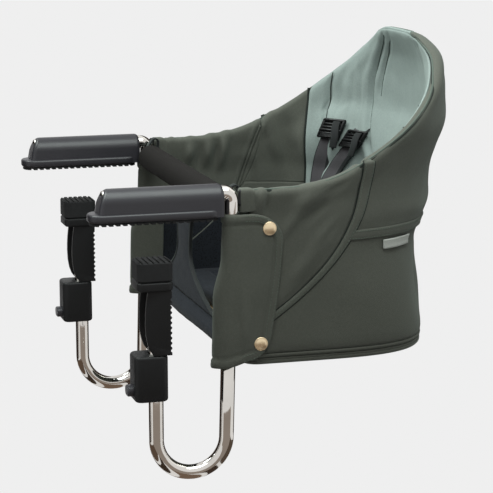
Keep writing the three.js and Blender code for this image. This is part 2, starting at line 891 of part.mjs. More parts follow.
// Torsion spring beside the pawl, one unbroken coil round the pin.
function buildPawlSprings() {
  const points = [];
  const steps = springTurns * springSteps;
  for (let i = 0; i <= steps; i += 1) {
    const angle = (2 * Math.PI * i) / springSteps;
    const x = pawlHalfWidth + springWire + seatGap + (springPitch * i) / springSteps;
    const y = pawlPivotY + springRadius * Math.cos(angle);
    points.push(new THREE.Vector3(x, y, pawlPivotZ + springRadius * Math.sin(angle)));
  }
  addPair('pawl_spring', sweep(ringShape(springWire, 0, springSides), pathThrough(points)), steel);
  const gap = springPitch - 2 * springWire;
  console.log(`pawl spring: least gap between turns ${gap.toFixed(2)} mm`);
}

// Seat cover surface

// Half plan from the rear centre to the front, as points with their run along the edge.
function planRun(powerShare, rear) {
  const samples = 240;
  const points = [];
  for (let i = 0; i <= samples; i += 1) {
    const angle = (Math.PI / 2) * (i / samples);
    const x = coverHalfWidth * Math.sin(angle) ** (2 / powerShare);
    const y = coverStraight + (rear - coverStraight) * Math.cos(angle) ** (2 / powerShare);
    points.push(new THREE.Vector2(x, y));
  }
  points.push(new THREE.Vector2(coverHalfWidth, coverFrontY));
  const runs = [0];
  for (let i = 1; i < points.length; i += 1) {
    runs.push(runs[i - 1] + points[i].distanceTo(points[i - 1]));
  }
  return { points, runs, total: runs.at(-1) };
}

// The cover is squarer in plan at its base than at its rim.
const lowerPlan = planRun(lowerPowerShare, lowerRear);
const upperPlan = planRun(upperPowerShare, upperRear);

// Point and outward normal of a plan, for a share that runs from -1 (right front) to 1 (left front).
function planPlace({ points, runs, total }, share) {
  const run = Math.min(Math.abs(share), 1) * total;
  let i = 1;
  while (i < runs.length - 1 && runs[i] < run) i += 1;
  const along = (run - runs[i - 1]) / (runs[i] - runs[i - 1]);
  const point = points[i - 1].clone().lerp(points[i], along);
  const heading = points[i].clone().sub(points[i - 1]).normalize();
  const sign = share < 0 ? -1 : 1;
  if (Math.abs(share) < 1e-6) heading.set(1, 0);
  return { point: point.setX(sign * point.x), normal: new THREE.Vector2(-sign * heading.y, heading.x) };
}

function outline(share, z) {
  const lower = planPlace(lowerPlan, share);
  const upper = planPlace(upperPlan, share);
  const rise = smooth((z - planLowZ) / (planHighZ - planLowZ));
  const point = lower.point.lerp(upper.point, rise);
  const normal = lower.normal.lerp(upper.normal, rise).normalize();
  return { x: point.x, y: point.y, nx: normal.x, ny: normal.y };
}

function rimZ(share) {
  const span = rimRiseFrontShare - rimRiseRearShare;
  const rise = smooth((rimRiseFrontShare - Math.abs(share)) / span);
  return lerp(rimFrontZ, rimRearZ, rise ** rimRisePowerShare);
}

// Slope of the rear profile at one of its given heights.
function profileSlope(k) {
  const slope = (i) => (profileOuts[i + 1] - profileOuts[i]) / (profileHeights[i + 1] - profileHeights[i]);
  if (k === 0) return slope(0);
  if (k === profileHeights.length - 1) return slope(k - 1);
  const below = profileHeights[k] - profileHeights[k - 1];
  const above = profileHeights[k + 1] - profileHeights[k];
  return (slope(k - 1) * above + slope(k) * below) / (below + above);
}

// How far the cover stands out behind its plan at a height, as a smooth curve through the profile.
function profileAt(height) {
  const z = Math.min(Math.max(height, profileHeights[0]), profileHeights.at(-1));
  let i = 0;
  while (i < profileHeights.length - 2 && profileHeights[i + 1] < z) i += 1;
  const span = profileHeights[i + 1] - profileHeights[i];
  const t = (z - profileHeights[i]) / span;
  const rise = smooth(t);
  const start = t * (1 - t) ** 2 * span * profileSlope(i);
  const end = t ** 2 * (t - 1) * span * profileSlope(i + 1);
  return lerp(profileOuts[i], profileOuts[i + 1], rise) + start + end;
}

function bulgeAt(share, z) {
  const span = profileFadeFrontShare - profileFadeRearShare;
  return smooth((profileFadeFrontShare - Math.abs(share)) / span) * profileAt(z);
}

// A point of the cover at a share and height, moved inwards by the depth.
function coverPoint(share, z, depth = 0) {
  const { x, y, nx, ny } = outline(share, z);
  const out = bulgeAt(share, z) - depth;
  return [x + nx * out, y + ny * out, z];
}

function seamShare(z) {
  const drop = Math.max(seamTopZ - z, 0) / (seamTopZ - panelBottom);
  return Math.min(seamTopShare + seamSweepShare * drop ** seamPowerShare, seamLimitShare);
}

const rimSlope = (share) => {
  const step = 0.01;
  const run = 2 * step * upperPlan.total;
  return (rimZ(share + step) - rimZ(share - step)) / run;
};
const panelTop = (share) => {
  const reach = (rimRadius + seatGap) * Math.hypot(1, rimSlope(share));
  return rimZ(share) - rimRadius - reach;
};

// Finds the share and height of a panel point whose side edges follow the seam.
function seamedPlace(column, row, low, high, edges) {
  let share = edges(column, seamTopZ);
  let z = low(share);
  for (let i = 0; i < 8; i += 1) {
    z = lerp(low(share), high(share), row);
    share = edges(column, z);
  }
  return [share, z];
}

function coverPanel(columns, rows, low, high, edges, wall = panelWall) {
  const face = (depth) => (column, row) => {
    const [share, z] = seamedPlace(column, row, low, high, edges);
    return coverPoint(share, z, depth);
  };
  return sheet(columns, rows, face(0), face(wall));
}

const seamGapShare = (3 * seatGap) / upperPlan.total;

function buildPanels() {
  const bottom = () => panelBottom;
  const sideEdges = (column, z) => lerp(seamShare(z) + seamGapShare, 1, column);
  const side = coverPanel(6, 12, bottom, panelTop, sideEdges);
  side.translate(-sideHalf, 0, 0);
  addPair('side_panel', side, fabric);

  const backEdges = (column, z) => lerp(-1, 1, column) * (seamShare(z) - seamGapShare);
  const waistLow = () => waistZ - seatGap / 2;
  const waistHigh = () => waistZ + seatGap / 2;
  add('lower_back_panel', coverPanel(26, 8, bottom, waistLow, backEdges), fabric);
  add('upper_back_panel', coverPanel(26, 9, waistHigh, panelTop, backEdges), fabric);
}

// Thickness of the back pad: crowned up the middle and thin at its edges.
function backPadCrown(across, z, share) {
  const high = panelTop(share) - rimRadius;
  const row = Math.min(Math.max((z - backPadBottom) / (high - backPadBottom), 0), 1);
  return lerp(backPadEdgeWall, backPadWall, Math.sqrt(Math.sin(Math.PI * row)) * (1 - across ** 6));
}

// The two stitched channels bow out at the middle of the back.
function channelShare(z) {
  const end = z > channelMiddleZ ? channelTopZ : channelLowZ;
  const away = Math.min((z - channelMiddleZ) / (end - channelMiddleZ), 1);
  return lerp(channelMiddleShare, channelEndShare, away ** 2);
}

// The crowned thickness less the channels, which fade out at the pad's edges.
function backPadWallAt(across, z, share) {
  const crown = backPadCrown(across, z, share);
  const deep = (crown - backPadEdgeWall) / (backPadWall - backPadEdgeWall);
  return crown - channelDepth * deep * bump((Math.abs(share) - channelShare(z)) / channelWidthShare);
}

function buildBackPad() {
  const face = (front) => (column, row) => {
    const across = lerp(-1, 1, column);
    const share = across * backPadHalfShare;
    const z = lerp(backPadBottom, panelTop(share) - rimRadius, row);
    const wall = front ? backPadWallAt(across, z, share) : 0;
    return coverPoint(share, z, panelWall + backPadGap + wall);
  };
  const pad = sheet(backPadColumns, backPadRows, face(true), face(false));
  add('back_pad', pad, innerFabric);
}

function rimPath(steps, endShare) {
  const points = [];
  for (let i = 0; i <= steps; i += 1) {
    const share = lerp(-endShare, endShare, i / steps);
    const z = rimZ(share) - rimRadius;
    const [x, y] = coverPoint(share, z, panelWall / 2);
    points.push(new THREE.Vector3(x, y, z));
  }
  return points;
}

function buildRim() {
  const steps = 28;
  const roll = rimPath(steps, 1);
  const bore = clearRadius(hoopRadius, hoopSides);
  add('rim_roll', sweep(ringShape(rimRadius, bore, 7), pathThrough(roll)), fabric);
  const ends = [roll[0].clone(), roll.at(-1).clone()];
  for (const end of ends) end.y -= socketHeight / 3;
  const wire = [ends[0], ...roll, ends[1]];
  add('back_hoop', sweep(ringShape(hoopRadius, 0, hoopSides), pathThrough(wire)), steel);
}

function buildSockets() {
  const front = postTopY;
  const rear = coverFrontY - seatGap;
  const hoopX = coverHalfWidth - panelWall / 2 - sideHalf;
  const shape = roundedRect(
    hoopX - socketHalfWidth, front, hoopX + socketHalfWidth, rear, socketCorner);
  const hoopZ = rimFrontZ - rimRadius;
  const low = hoopZ - socketUnderHoop;
  let socket = toSolid(prism(shape, low, low + socketHeight, socketEdge));
  socket = socket.subtract(postSolid(clearRadius(tubeRadius, tubeSides)));
  socket = socket.subtract(crossSolid(upperCross));
  const wide = clearRadius(hoopRadius, hoopSides) + seatGap;
  const bore = bar('y', wide, postTopY, rear + cutOverrun, hoopSides, [hoopX, 0, hoopZ]);
  socket = socket.subtract(toSolid(bore));
  addPair('hoop_socket', toGeometry(socket), housingPlastic);
}

// Seat base

// Plan of the base, drawn in from the cover outline, with rounded front corners.
function baseOutline(inset, steps) {
  const front = baseFrontY + inset;
  const points = [];
  for (let i = 0; i <= steps; i += 1) {
    const share = lerp(-1, 1, i / steps);
    const { x, y, nx, ny } = outline(share, trayBottom);
    points.push([x - nx * inset, Math.max(y - ny * inset, front + baseFrontRound)]);
  }
  const half = coverHalfWidth - inset;
  for (let k = 1; k <= 3; k += 1) {
    const angle = (Math.PI / 2) * (k / 3);
    const y = front + baseFrontRound * (1 - Math.sin(angle));
    points.push([half - baseFrontRound * (1 - Math.cos(angle)), y]);
  }
  for (let k = 3; k >= 1; k -= 1) {
    const angle = (Math.PI / 2) * (k / 3);
    const y = front + baseFrontRound * (1 - Math.sin(angle));
    points.push([-half + baseFrontRound * (1 - Math.cos(angle)), y]);
  }
  return points;
}

function baseShape(inset, steps = 28) {
  return new THREE.Shape(baseOutline(inset, steps).map(([x, y]) => new THREE.Vector2(x, y)));
}

function buildBase() {
  add('base_tray', prism(baseShape(trayInset), trayBottom, trayTop, trayEdge, 2), fabric);
  const boardLow = trayTop + seatGap;
  const boardHigh = boardLow + boardWall;
  add('seat_board', prism(baseShape(panelWall + boardInset), boardLow, boardHigh), board);

  const piping = [];
  const steps = 28;
  for (let i = 0; i <= steps; i += 1) {
    const [x, y] = coverPoint(lerp(-1, 1, i / steps), panelBottom, panelWall / 2);
    piping.push(new THREE.Vector3(x, y, panelBottom - pipingDrop));
  }
  add('base_piping', sweep(ringShape(pipingRadius, 0, 6), pathThrough(piping)), fabric);

  add('seat_pad', seatPad(boardHigh + seatGap), innerFabric);
}

// A cushion as rings drawn in from its outline: flat below, bulged sides and a crowned top
// with a stitched channel round the border.
function seatPad(bottom) {
  const rings = seatPadRingShares.map(([share, side, channel, crown]) => {
    const height = seatPadHeight * side - seatPadChannelDepth * channel + seatPadCrown * crown;
    return [share, height];
  });
  const outlinePoints = baseOutline(panelWall + seatPadInset, 28);
  const centreY = (baseFrontY + lowerRear) / 2;
  const count = outlinePoints.length;
  const positions = [];
  const index = [];
  rings.forEach(([share, height], ring) => {
    const bulge = ring === 1 ? seatPadBulge : 0;
    outlinePoints.forEach(([x, y]) => {
      const reach = Math.hypot(x, y - centreY);
      const scale = share + bulge / reach;
      positions.push(x * scale, centreY + (y - centreY) * scale, bottom + height);
    });
  });
  const low = positions.length / 3;
  positions.push(0, centreY, bottom);
  positions.push(0, centreY, bottom + seatPadHeight + seatPadCrown);
  for (let i = 0; i < count; i += 1) {
    const next = (i + 1) % count;
    index.push(low, next, i);
    for (let ring = 0; ring < rings.length - 1; ring += 1) {
      const a = ring * count;
      const b = a + count;
      index.push(a + i, a + next, b + next, a + i, b + next, b + i);
    }
    const last = (rings.length - 1) * count;
    index.push(last + i, last + next, low + 1);
  }
  const geometry = new THREE.BufferGeometry();
  geometry.setAttribute('position', new THREE.BufferAttribute(new Float32Array(positions), 3));
  geometry.setIndex(index);
  return geometry;
}

// Front apron, crotch panel, flaps and press studs

// Side view of the apron: it leaves the front roll and runs back to the tray.
function apronShape() {
  const y = postY(lowerCrossHeight);
  const place = (angle, reach) => {
    const turn = (Math.PI * angle) / 180;
    return new THREE.Vector2(y + reach * Math.cos(turn), lowerCrossHeight + reach * Math.sin(turn));
  };
  const near = rollRadius + seatGap;
  const far = near + apronWall;
  const angles = [0, 1, 2, 3, 4].map((k) => lerp(apronFromAngle, apronToAngle, k / 4));
  const rear = baseFrontY + trayInset - seatGap;
  const top = trayTop - trayEdge / 2;
  const upper = angles.map((angle) => place(angle, near));
  const lower = angles.map((angle) => place(angle, far)).reverse();
  const foot = [new THREE.Vector2(rear, top), new THREE.Vector2(rear, top - apronWall)];
  return new THREE.Shape([...upper, ...foot, ...lower]);
}

function buildFront() {
  add('front_apron', slice(apronShape(), rollHalfLength), fabric);

  const high = crossHeight - foamRadius - seatGap;
  const low = lowerCrossHeight + rollRadius + seatGap;
  const crotch = (depth) => (column, row) => {
    const across = lerp(-1, 1, column);
    const flare = row < 0.5 ? lerp(crotchTopHalf, crotchWaistHalf, smooth(2 * row))
      : lerp(crotchWaistHalf, crotchBottomHalf, smooth(2 * row - 1));
    const z = lerp(high, low, row);
    return [across * flare, postY(z) - crotchWall / 2 + depth, z];
  };
  add('crotch_panel', sheet(6, 6, crotch(0), crotch(crotchWall)), mesh);
}

// Plan of the flap at z = 0: down the outside, round the front of the post, back along its inside.
function flapPlan() {
  const reach = tubeRadius + flapFrontClear;
  const y = postY(0);
  const points = [
    new THREE.Vector2(flapRearX - sideHalf, flapRearTopY + cutOverrun),
    new THREE.Vector2(flapXAt((flapRearTopY + y) / 2), (flapRearTopY + y) / 2),
    new THREE.Vector2(reach, y + tubeRadius),
  ];
  for (let k = 0; k <= flapTurnSteps; k += 1) {
    const angle = (-Math.PI * k) / flapTurnSteps;
    points.push(new THREE.Vector2(reach * Math.cos(angle), y + reach * Math.sin(angle)));
  }
  points.push(new THREE.Vector2(-reach, flapInsideY));
  return points;
}

// The loose fold stands forward of the post below the table, most at the middle of its front.
function flapFold(point, z) {
  const front = Math.max((postY(0) - point.y) / (tubeRadius + flapFrontClear), 0);
  return flapFoldOut * front * smooth((flapFoldTop - z) / flapFoldRise);
}

function flapFace(plan, depth, low, high) {
  return (column, row) => {
    const i = Math.round(column * (plan.length - 1));
    const heading = plan[Math.min(i + 1, plan.length - 1)].clone().sub(plan[Math.max(i - 1, 0)]);
    heading.normalize();
    const z = lerp(low, high, row);
    const x = plan[i].x - heading.y * depth;
    const y = plan[i].y + heading.x * depth + z * postLean - flapFold(plan[i], z);
    return [x, y, z];
  };
}

function flapOutline() {
  const shape = new THREE.Shape();
  const front = -cutLong / 10;
  shape.moveTo(front, flapTop);
  shape.lineTo(flapRearTopY - flapCornerRadius, flapTop);
  shape.quadraticCurveTo(flapRearTopY, flapTop, flapRearTopY, flapTop - flapCornerRadius);
  const rise = flapRearBottom + flapCornerRadius;
  shape.lineTo(flapRearLowY, rise);
  shape.quadraticCurveTo(flapRearLowY, flapRearBottom, flapRearLowY - flapCornerRadius, flapRearBottom);
  shape.lineTo(postY(0), flapFrontBottom);
  shape.lineTo(front, flapFrontBottom);
  return shape;
}

function flapXAt(y) {
  const reach = tubeRadius + flapFrontClear;
  const from = postY(0) + tubeRadius;
  const share = (y - from) / (flapRearTopY + cutOverrun - from);
  return lerp(reach, flapRearX - sideHalf, share);
}

function buildFlaps() {
  const plan = flapPlan();
  const low = flapFrontBottom - cutOverrun;
  const high = flapTop + cutOverrun;
  const outer = flapFace(plan, flapWall / 2, low, high);
  const inner = flapFace(plan, -flapWall / 2, low, high);
  const wrap = sheet(plan.length - 1, flapRows, outer, inner);
  let flap = toSolid(wrap).intersect(toSolid(slice(flapOutline(), cutLong / 10)));
  flap = flap.subtract(crossSolid(upperCross)).subtract(crossSolid(lowerCross));
  for (const [y, z] of Object.values(studPlaces)) {
    const hole = bar('x', clearRadius(studShank, studSides), 0, cutLong / 10, studSides, [0, y, z]);
    flap = flap.subtract(toSolid(hole));
  }
  addPair('flap', toGeometry(flap), fabric);
}

function buildStuds() {
  for (const [name, [y, z]] of Object.entries(studPlaces)) {
    const middle = flapXAt(y - z * postLean);
    const outside = middle + flapWall / 2 + seatGap * 3;
    const inside = middle - flapWall / 2 - seatGap * 3;
    const stud = turned([
      [0, inside - studBackHeight],
      [studBack, inside - studBackHeight],
      [studBack, inside],
      [studShank, inside],
      [studShank, outside],
      [studRadius, outside],
      [studRadius, outside + studCap / 3],
      [studRadius * studDomeShare, outside + studCap * studShoulderShare],
      [0, outside + studCap],
    ], studSides);
    stud.rotateY(Math.PI / 2);
    stud.translate(0, y, z);
    addPair(`press_stud_${name}`, stud, brass);
  }
}

// Harness

function webPoint(share, z, depth) {
  const pad = backPadCrown(share / backPadHalfShare, z, share);
  return coverPoint(share, z, panelWall + backPadGap + pad + webGap + depth);
}

// A strap leans outwards as it comes down from its top, the inner one over the outer one.
function strapPlace(strap, across, z, depth) {
  const lean = smooth((webTops[strap] - z) / webLeanHeight);
  const share = lerp(webTopShares[strap], webFootShares[strap], lean);
  const step = 0.01;
  const [x0, y0] = webPoint(share - step, z, depth);
  const [x1, y1] = webPoint(share + step, z, depth);
  const rate = Math.hypot(x1 - x0, y1 - y0) / (2 * step);
  return webPoint(share + across / rate, z, depth + webLifts[strap] * lean);
}

function buildHarness() {
  ['outer', 'inner'].forEach((name, i) => {
    const web = (depth) => (column, row) => {
      const across = lerp(-webHalfWidth, webHalfWidth, column);
      return strapPlace(i, across, lerp(webBottomZ, webTops[i], row), depth);
    };
    add(`harness_strap_${name}`, sheet(webColumns, webRows, web(0), web(webWall)), webbing);
    const block = (depth) => (column, row) => {
      const across = lerp(-adjusterHalfWidth, adjusterHalfWidth, column);
      const z = webTops[i] - adjusterDrop + lerp(-adjusterHeight, adjusterHeight, row) / 2;
      return strapPlace(i, across, z, webWall + adjusterGap + depth);
    };
    const adjuster = sheet(webColumns, webColumns, block(0), block(adjusterWall));
    add(`strap_adjuster_${name}`, adjuster, blackPlastic);
  });
}

buildSideTubes();
buildClampArms();
buildSwivels();
buildCrossTubes();
buildKeepers();
buildGrips();
buildSoles();
buildHousings();
buildClampPosts();
buildClampPads();
buildStemCaps();
buildButtons();
buildPawls();
buildPawlSprings();
buildPanels();
buildBackPad();
buildRim();
buildSockets();
buildBase();
buildFront();
buildFlaps();
buildStuds();
buildHarness();

export default chair;
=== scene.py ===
import math

import bmesh
import bpy
import numpy as np
from mathutils import Matrix, Vector
from mathutils.kdtree import KDTree


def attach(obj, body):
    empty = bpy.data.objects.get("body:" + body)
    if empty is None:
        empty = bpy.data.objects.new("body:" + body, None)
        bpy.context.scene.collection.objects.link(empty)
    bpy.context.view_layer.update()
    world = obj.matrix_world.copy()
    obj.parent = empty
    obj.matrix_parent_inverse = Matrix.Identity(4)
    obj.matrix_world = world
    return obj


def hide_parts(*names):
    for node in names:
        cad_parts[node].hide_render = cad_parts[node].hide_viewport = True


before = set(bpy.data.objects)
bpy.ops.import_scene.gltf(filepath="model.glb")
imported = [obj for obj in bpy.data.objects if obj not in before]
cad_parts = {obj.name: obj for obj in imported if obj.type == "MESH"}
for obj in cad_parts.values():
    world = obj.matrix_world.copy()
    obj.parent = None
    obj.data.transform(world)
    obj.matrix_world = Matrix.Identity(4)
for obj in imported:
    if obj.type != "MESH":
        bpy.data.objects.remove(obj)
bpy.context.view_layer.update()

bl_info = {
    "name": "Hook-on table chair",
    "version": (1, 0, 0),
    "blender": (4, 5, 0),
    "location": "3D View > Sidebar > Table chair",
    "description": "Dresses a child's hook-on table chair: padded twill seat, chrome tubes and table clamps",
    "category": "Object",
}

# Sizes are in millimetres, as in the part, and become metres when a mesh is made.
MM = 0.001

SIDE_HALF = 200.0
TUBE_RADIUS = 8.0
ARM_HEIGHT = 27.5
ARM_FRONT = -128.0
ELBOW_BEND = 9.5
POST_TOP_Y = 13.0
POST_FOOT_Y = 5.4
POST_FOOT_Z = -236.0
POST_BOTTOM = -160.0
STEM_Y = -72.0
STEM_TOP = -118.0
U_BOTTOM = -275.0
U_BEND = 38.0
CROSS_HEIGHT = 10.5
LOWER_CROSS_HEIGHT = -132.0
ROLL_RADIUS = 9.4
GRIP_BORE, HOUSING_BORE = 8.1, 8.12
APRON_HALF = 186.5
CROTCH_TOP_HALF, CROTCH_WAIST_HALF, CROTCH_FOOT_HALF = 34.0, 27.0, 150.0

COVER_HALF = 204.0
COVER_STRAIGHT = 90.0
COVER_FRONT = 31.0
LOWER_POWER, LOWER_REAR = 3.6, 263.0
UPPER_POWER, UPPER_REAR = 2.1, 279.0
PLAN_LOW, PLAN_HIGH = -100.0, 40.0
PROFILE_Z = np.array([-149, -125, -100, -75, -55, -40, -30, -18, -6, 10, 30, 55, 80, 105, 130, 155, 180.0])
PROFILE_OUT = np.array([-0.5, -3.5, -7, -8.5, -8, -6, 0, 5, 9.5, 10, 12, 19.5, 28, 28.5, 27, 19.5, -4.0])
FADE_FRONT, FADE_REAR = 0.8, 0.36
RIM_FRONT_Z, RIM_REAR_Z = 30.0, 174.0
RISE_FRONT, RISE_REAR, RISE_POWER = 0.96, 0.12, 1.6
RIM_RADIUS = 6.0
PANEL_WALL = 7.0
PANEL_BOTTOM = -149.0
WAIST_Z = -28.0
SEAM_TOP_Z, SEAM_TOP, SEAM_SWEEP, SEAM_POWER, SEAM_LIMIT = 50.0, 0.655, 0.458, 2.1, 0.955
PAD_HALF = 0.5
PAD_GAP = 2.4
PAD_BOTTOM = -118.0
PAD_WALL, PAD_EDGE = 11.0, 4.0

SIGNS = {"left": 1.0, "right": -1.0}


# ---------------------------------------------------------------- curves and surfaces

def smooth(value):
    """An even step from 0 to 1, flat at both ends."""
    t = np.clip(value, 0.0, 1.0)
    return t * t * (3.0 - 2.0 * t)


def bump(value):
    """A round hump of height 1 between -1 and 1."""
    return np.where(np.abs(value) < 1.0, np.cos(np.pi * np.clip(value, -1, 1) / 2) ** 2, 0.0)


def lerp(a, b, t):
    return a + (b - a) * t


def unit(vectors):
    """Vectors, or rows of them, at length one."""
    return vectors / np.linalg.norm(vectors, axis=-1, keepdims=True)


def headings(points):
    """Unit directions along a path."""
    return unit(np.gradient(points, axis=0))


def run_along(points):
    """Length along a path, up to each of its points."""
    return np.concatenate([[0.0], np.cumsum(np.linalg.norm(np.diff(points, axis=0), axis=1))])


def full_turn(sides):
    return 2 * np.pi * np.arange(sides) / sides


def post_y(z):
    """Where the leaning post's middle stands, towards the table or away, at a height."""
    return POST_TOP_Y + (z - ARM_HEIGHT) * (POST_TOP_Y - POST_FOOT_Y) / (ARM_HEIGHT - POST_FOOT_Z)


def plan_run(power, rear):
    """Half of the cover's plan, from its rear middle to its front, and the run along it."""
    angle = np.linspace(0.0, np.pi / 2, 241)
    x = COVER_HALF * np.sin(angle) ** (2 / power)
    y = COVER_STRAIGHT + (rear - COVER_STRAIGHT) * np.clip(np.cos(angle), 0, 1) ** (2 / power)
    x, y = np.append(x, COVER_HALF), np.append(y, COVER_FRONT)
    run = np.concatenate([[0.0], np.cumsum(np.hypot(np.diff(x), np.diff(y)))])
    return x, y, run


LOWER_PLAN = plan_run(LOWER_POWER, LOWER_REAR)
UPPER_PLAN = plan_run(UPPER_POWER, UPPER_REAR)
COVER_RUN = UPPER_PLAN[2][-1]


def plan_place(plan, share):
    """Point and outward normal of a plan; share runs from -1 (right front) to 1 (left front)."""
    x, y, run = plan
    at = np.clip(np.abs(share), 0.0, 1.0) * run[-1]
    sign = np.where(share < 0, -1.0, 1.0)
    ahead, behind = np.clip(at + 1.5, 0, run[-1]), np.clip(at - 1.5, 0, run[-1])
    hx = np.interp(ahead, run, x) - np.interp(behind, run, x)
    hy = np.interp(ahead, run, y) - np.interp(behind, run, y)
    hy = np.where(at < 1.5, hy * at / 1.5, hy)
    length = np.hypot(hx, hy) + 1e-9
    return sign * np.interp(at, run, x), np.interp(at, run, y), -sign * hy / length, hx / length


def outline(share, z):
    rise = smooth((z - PLAN_LOW) / (PLAN_HIGH - PLAN_LOW))
    low, high = plan_place(LOWER_PLAN, share), plan_place(UPPER_PLAN, share)
    x, y, nx, ny = [lerp(a, b, rise) for a, b in zip(low, high)]
    length = np.hypot(nx, ny)
    return x, y, nx / length, ny / length


def profile_out(z):
    """How far the cover stands out behind its plan at each height."""
    xs, ys = PROFILE_Z, PROFILE_OUT
    h = np.diff(xs)
    d = np.diff(ys) / h
    m = np.concatenate([[d[0]], (d[:-1] * h[1:] + d[1:] * h[:-1]) / (h[:-1] + h[1:]), [d[-1]]])
    z = np.clip(z, xs[0], xs[-1])
    i = np.clip(np.searchsorted(xs, z) - 1, 0, len(h) - 1)
    t = (z - xs[i]) / h[i]
    return (lerp(ys[i], ys[i + 1], smooth(t)) + t * (1 - t) ** 2 * h[i] * m[i]
            + t * t * (t - 1) * h[i] * m[i + 1])


def rim_z(share):
    """Height of the rim's crest."""
    rise = smooth((RISE_FRONT - np.abs(share)) / (RISE_FRONT - RISE_REAR))
    return lerp(RIM_FRONT_Z, RIM_REAR_Z, rise ** RISE_POWER)


def bulge(share, z):
    return smooth((FADE_FRONT - np.abs(share)) / (FADE_FRONT - FADE_REAR)) * profile_out(z)


def cover(share, z, depth=0.0):
    """Points of the cover at shares and heights, moved inwards by the depth."""
    share, z = np.broadcast_arrays(np.asarray(share, float), np.asarray(z, float))
    x, y, nx, ny = outline(share, z)
    out = bulge(share, z) - depth
    return np.stack([x + nx * out, y + ny * out, z], -1)


def cover_normal(share, z):
    """Outward unit normal of the cover, from its slopes along and up the surface."""
    share, z = np.broadcast_arrays(np.asarray(share, float), np.asarray(z, float))
    along = cover(share + 0.004, z) - cover(share - 0.004, z)
    up = cover(share, z + 1.0) - cover(share, z - 1.0)
    normal = np.cross(up, along)
    flip = np.where((normal * outward_at(share, z)).sum(-1) < 0, -1.0, 1.0)
    return unit(normal * flip[..., None])


def outward_at(share, z):
    """Level outward directions of the cover at shares and heights."""
    return np.stack(outline(share, z)[2:] + (0 * z,), -1)


def seam_share(z):
    """The slanting side seam, as a share of the plan at each height."""
    drop = np.clip(SEAM_TOP_Z - z, 0.0, None) / (SEAM_TOP_Z - PANEL_BOTTOM)
    return np.minimum(SEAM_TOP + SEAM_SWEEP * drop ** SEAM_POWER, SEAM_LIMIT)


def roll_centre_z(share):
    return rim_z(share) - RIM_RADIUS


def ripple(a, b, seed, size):
    """Soft repeatable unevenness over two surface coordinates in millimetres."""
    draw = np.random.default_rng(seed)
    total = 0.0
    for octave in range(3):
        wave = size / 1.7 ** octave
        for _ in range(3):
            turn, phase = draw.uniform(0, 2 * np.pi, 2)
            reach = 2 * np.pi / (wave * draw.uniform(0.8, 1.3))
            total = total + np.sin(reach * (a * np.cos(turn) + b * np.sin(turn)) + phase) / 1.7 ** octave
    return total / 4.5


def fold(a, b, start, end, width, height):
    """A soft ridge along a line between two surface points, fading out at both ends; a hollow if negative."""
    (a0, b0), (a1, b1) = start, end
    da, db = a1 - a0, b1 - b0
    span = math.hypot(da, db)
    along = ((a - a0) * da + (b - b0) * db) / span ** 2
    off = ((a - a0) * -db + (b - b0) * da) / span
    return height * bump(off / width) * smooth(1 - np.abs(2 * along - 1))


def folds(a, b, *lines):
    return sum(fold(a, b, *line) for line in lines)


# ---------------------------------------------------------------- mesh making

def place_object(name, data):
    """A new object in the scene, for a mesh, a lamp or a camera."""
    placed = bpy.data.objects.new(name, data)
    bpy.context.collection.objects.link(placed)
    return placed


def new_object(name, verts, faces, finishes, slots=None, smooth_faces=True):
    mesh = bpy.data.meshes.new(name)
    points = np.asarray(verts, float) * MM
    mesh.from_pydata(points.tolist(), [], [list(map(int, face)) for face in faces])
    for finish in finishes:
        mesh.materials.append(FINISHES[finish])
    if slots is not None:
        mesh.polygons.foreach_set("material_index", np.asarray(slots, np.int32))
    mesh.polygons.foreach_set("use_smooth", np.full(len(mesh.polygons), smooth_faces))
    mesh.validate()
    tidy = bmesh.new()
    tidy.from_mesh(mesh)
    bmesh.ops.recalc_face_normals(tidy, faces=tidy.faces)
    tidy.to_mesh(mesh)
    tidy.free()
    return place_object(name, mesh)


def ring_faces(rings, count, closed_ends=True):
    """Faces between rings of equal count; the ends are closed across each ring."""
    faces = []
    for r in range(rings - 1):
        for k in range(count):
            n = (k + 1) % count
            faces.append((r * count + k, r * count + n, (r + 1) * count + n, (r + 1) * count + k))
    if closed_ends:
        faces.append(tuple(range(count))[::-1])
        faces.append(tuple((rings - 1) * count + k for k in range(count)))
    return faces


def loft(name, rings, finishes, slots=None, smooth_faces=True):
    """A closed form through rings of equal count."""
    verts = np.array(rings)
    return new_object(name, verts.reshape(-1, 3), ring_faces(*verts.shape[:2]), finishes, slots, smooth_faces)


def section_shell(name, rings, finishes, slot_of=None):
    """A thin closed shell from sections of shape (columns, loop, 3); a loop runs up one face and
    down the other, so its ends close with a strip of quads."""
    columns, loop = rings.shape[:2]
    faces = ring_faces(columns, loop, False)
    slots = [slot_of(i // loop, i % loop) if slot_of else 0 for i in range(len(faces))]
    for base in (0, (columns - 1) * loop):
        for k in range(loop // 2 - 1):
            faces.append((base + k, base + k + 1, base + loop - 2 - k, base + loop - 1 - k))
            slots.append(0)
    return new_object(name, rings.reshape(-1, 3), faces, finishes, slots)


def sheet_section(name, inner, outer, finishes, slot_of=None):
    """A thin closed shell between two faces of shape (columns, rows, 3)."""
    return section_shell(name, np.concatenate([outer, inner[:, ::-1]], 1), finishes, slot_of)


def frames_along(points, normals=None):
    """Tangents, side and up directions along a path; up follows the normals if they are given."""
    points = np.asarray(points, float)
    tangents = np.gradient(points, axis=0)
    tangents /= np.linalg.norm(tangents, axis=1, keepdims=True) + 1e-12
    if normals is None:
        first = np.array([0.0, 0.0, 1.0]) if abs(tangents[0][2]) < 0.8 else np.array([1.0, 0.0, 0.0])
        ups = [first - tangents[0] * first.dot(tangents[0])]
        for tangent in tangents[1:]:
            up = ups[-1] - tangent * ups[-1].dot(tangent)
            ups.append(up / np.linalg.norm(up))
        ups = np.array(ups)
    else:
        ups = np.asarray(normals, float)
        ups = ups - tangents * (ups * tangents).sum(1, keepdims=True)
    ups = unit(ups)
    return tangents, np.cross(tangents, ups), ups


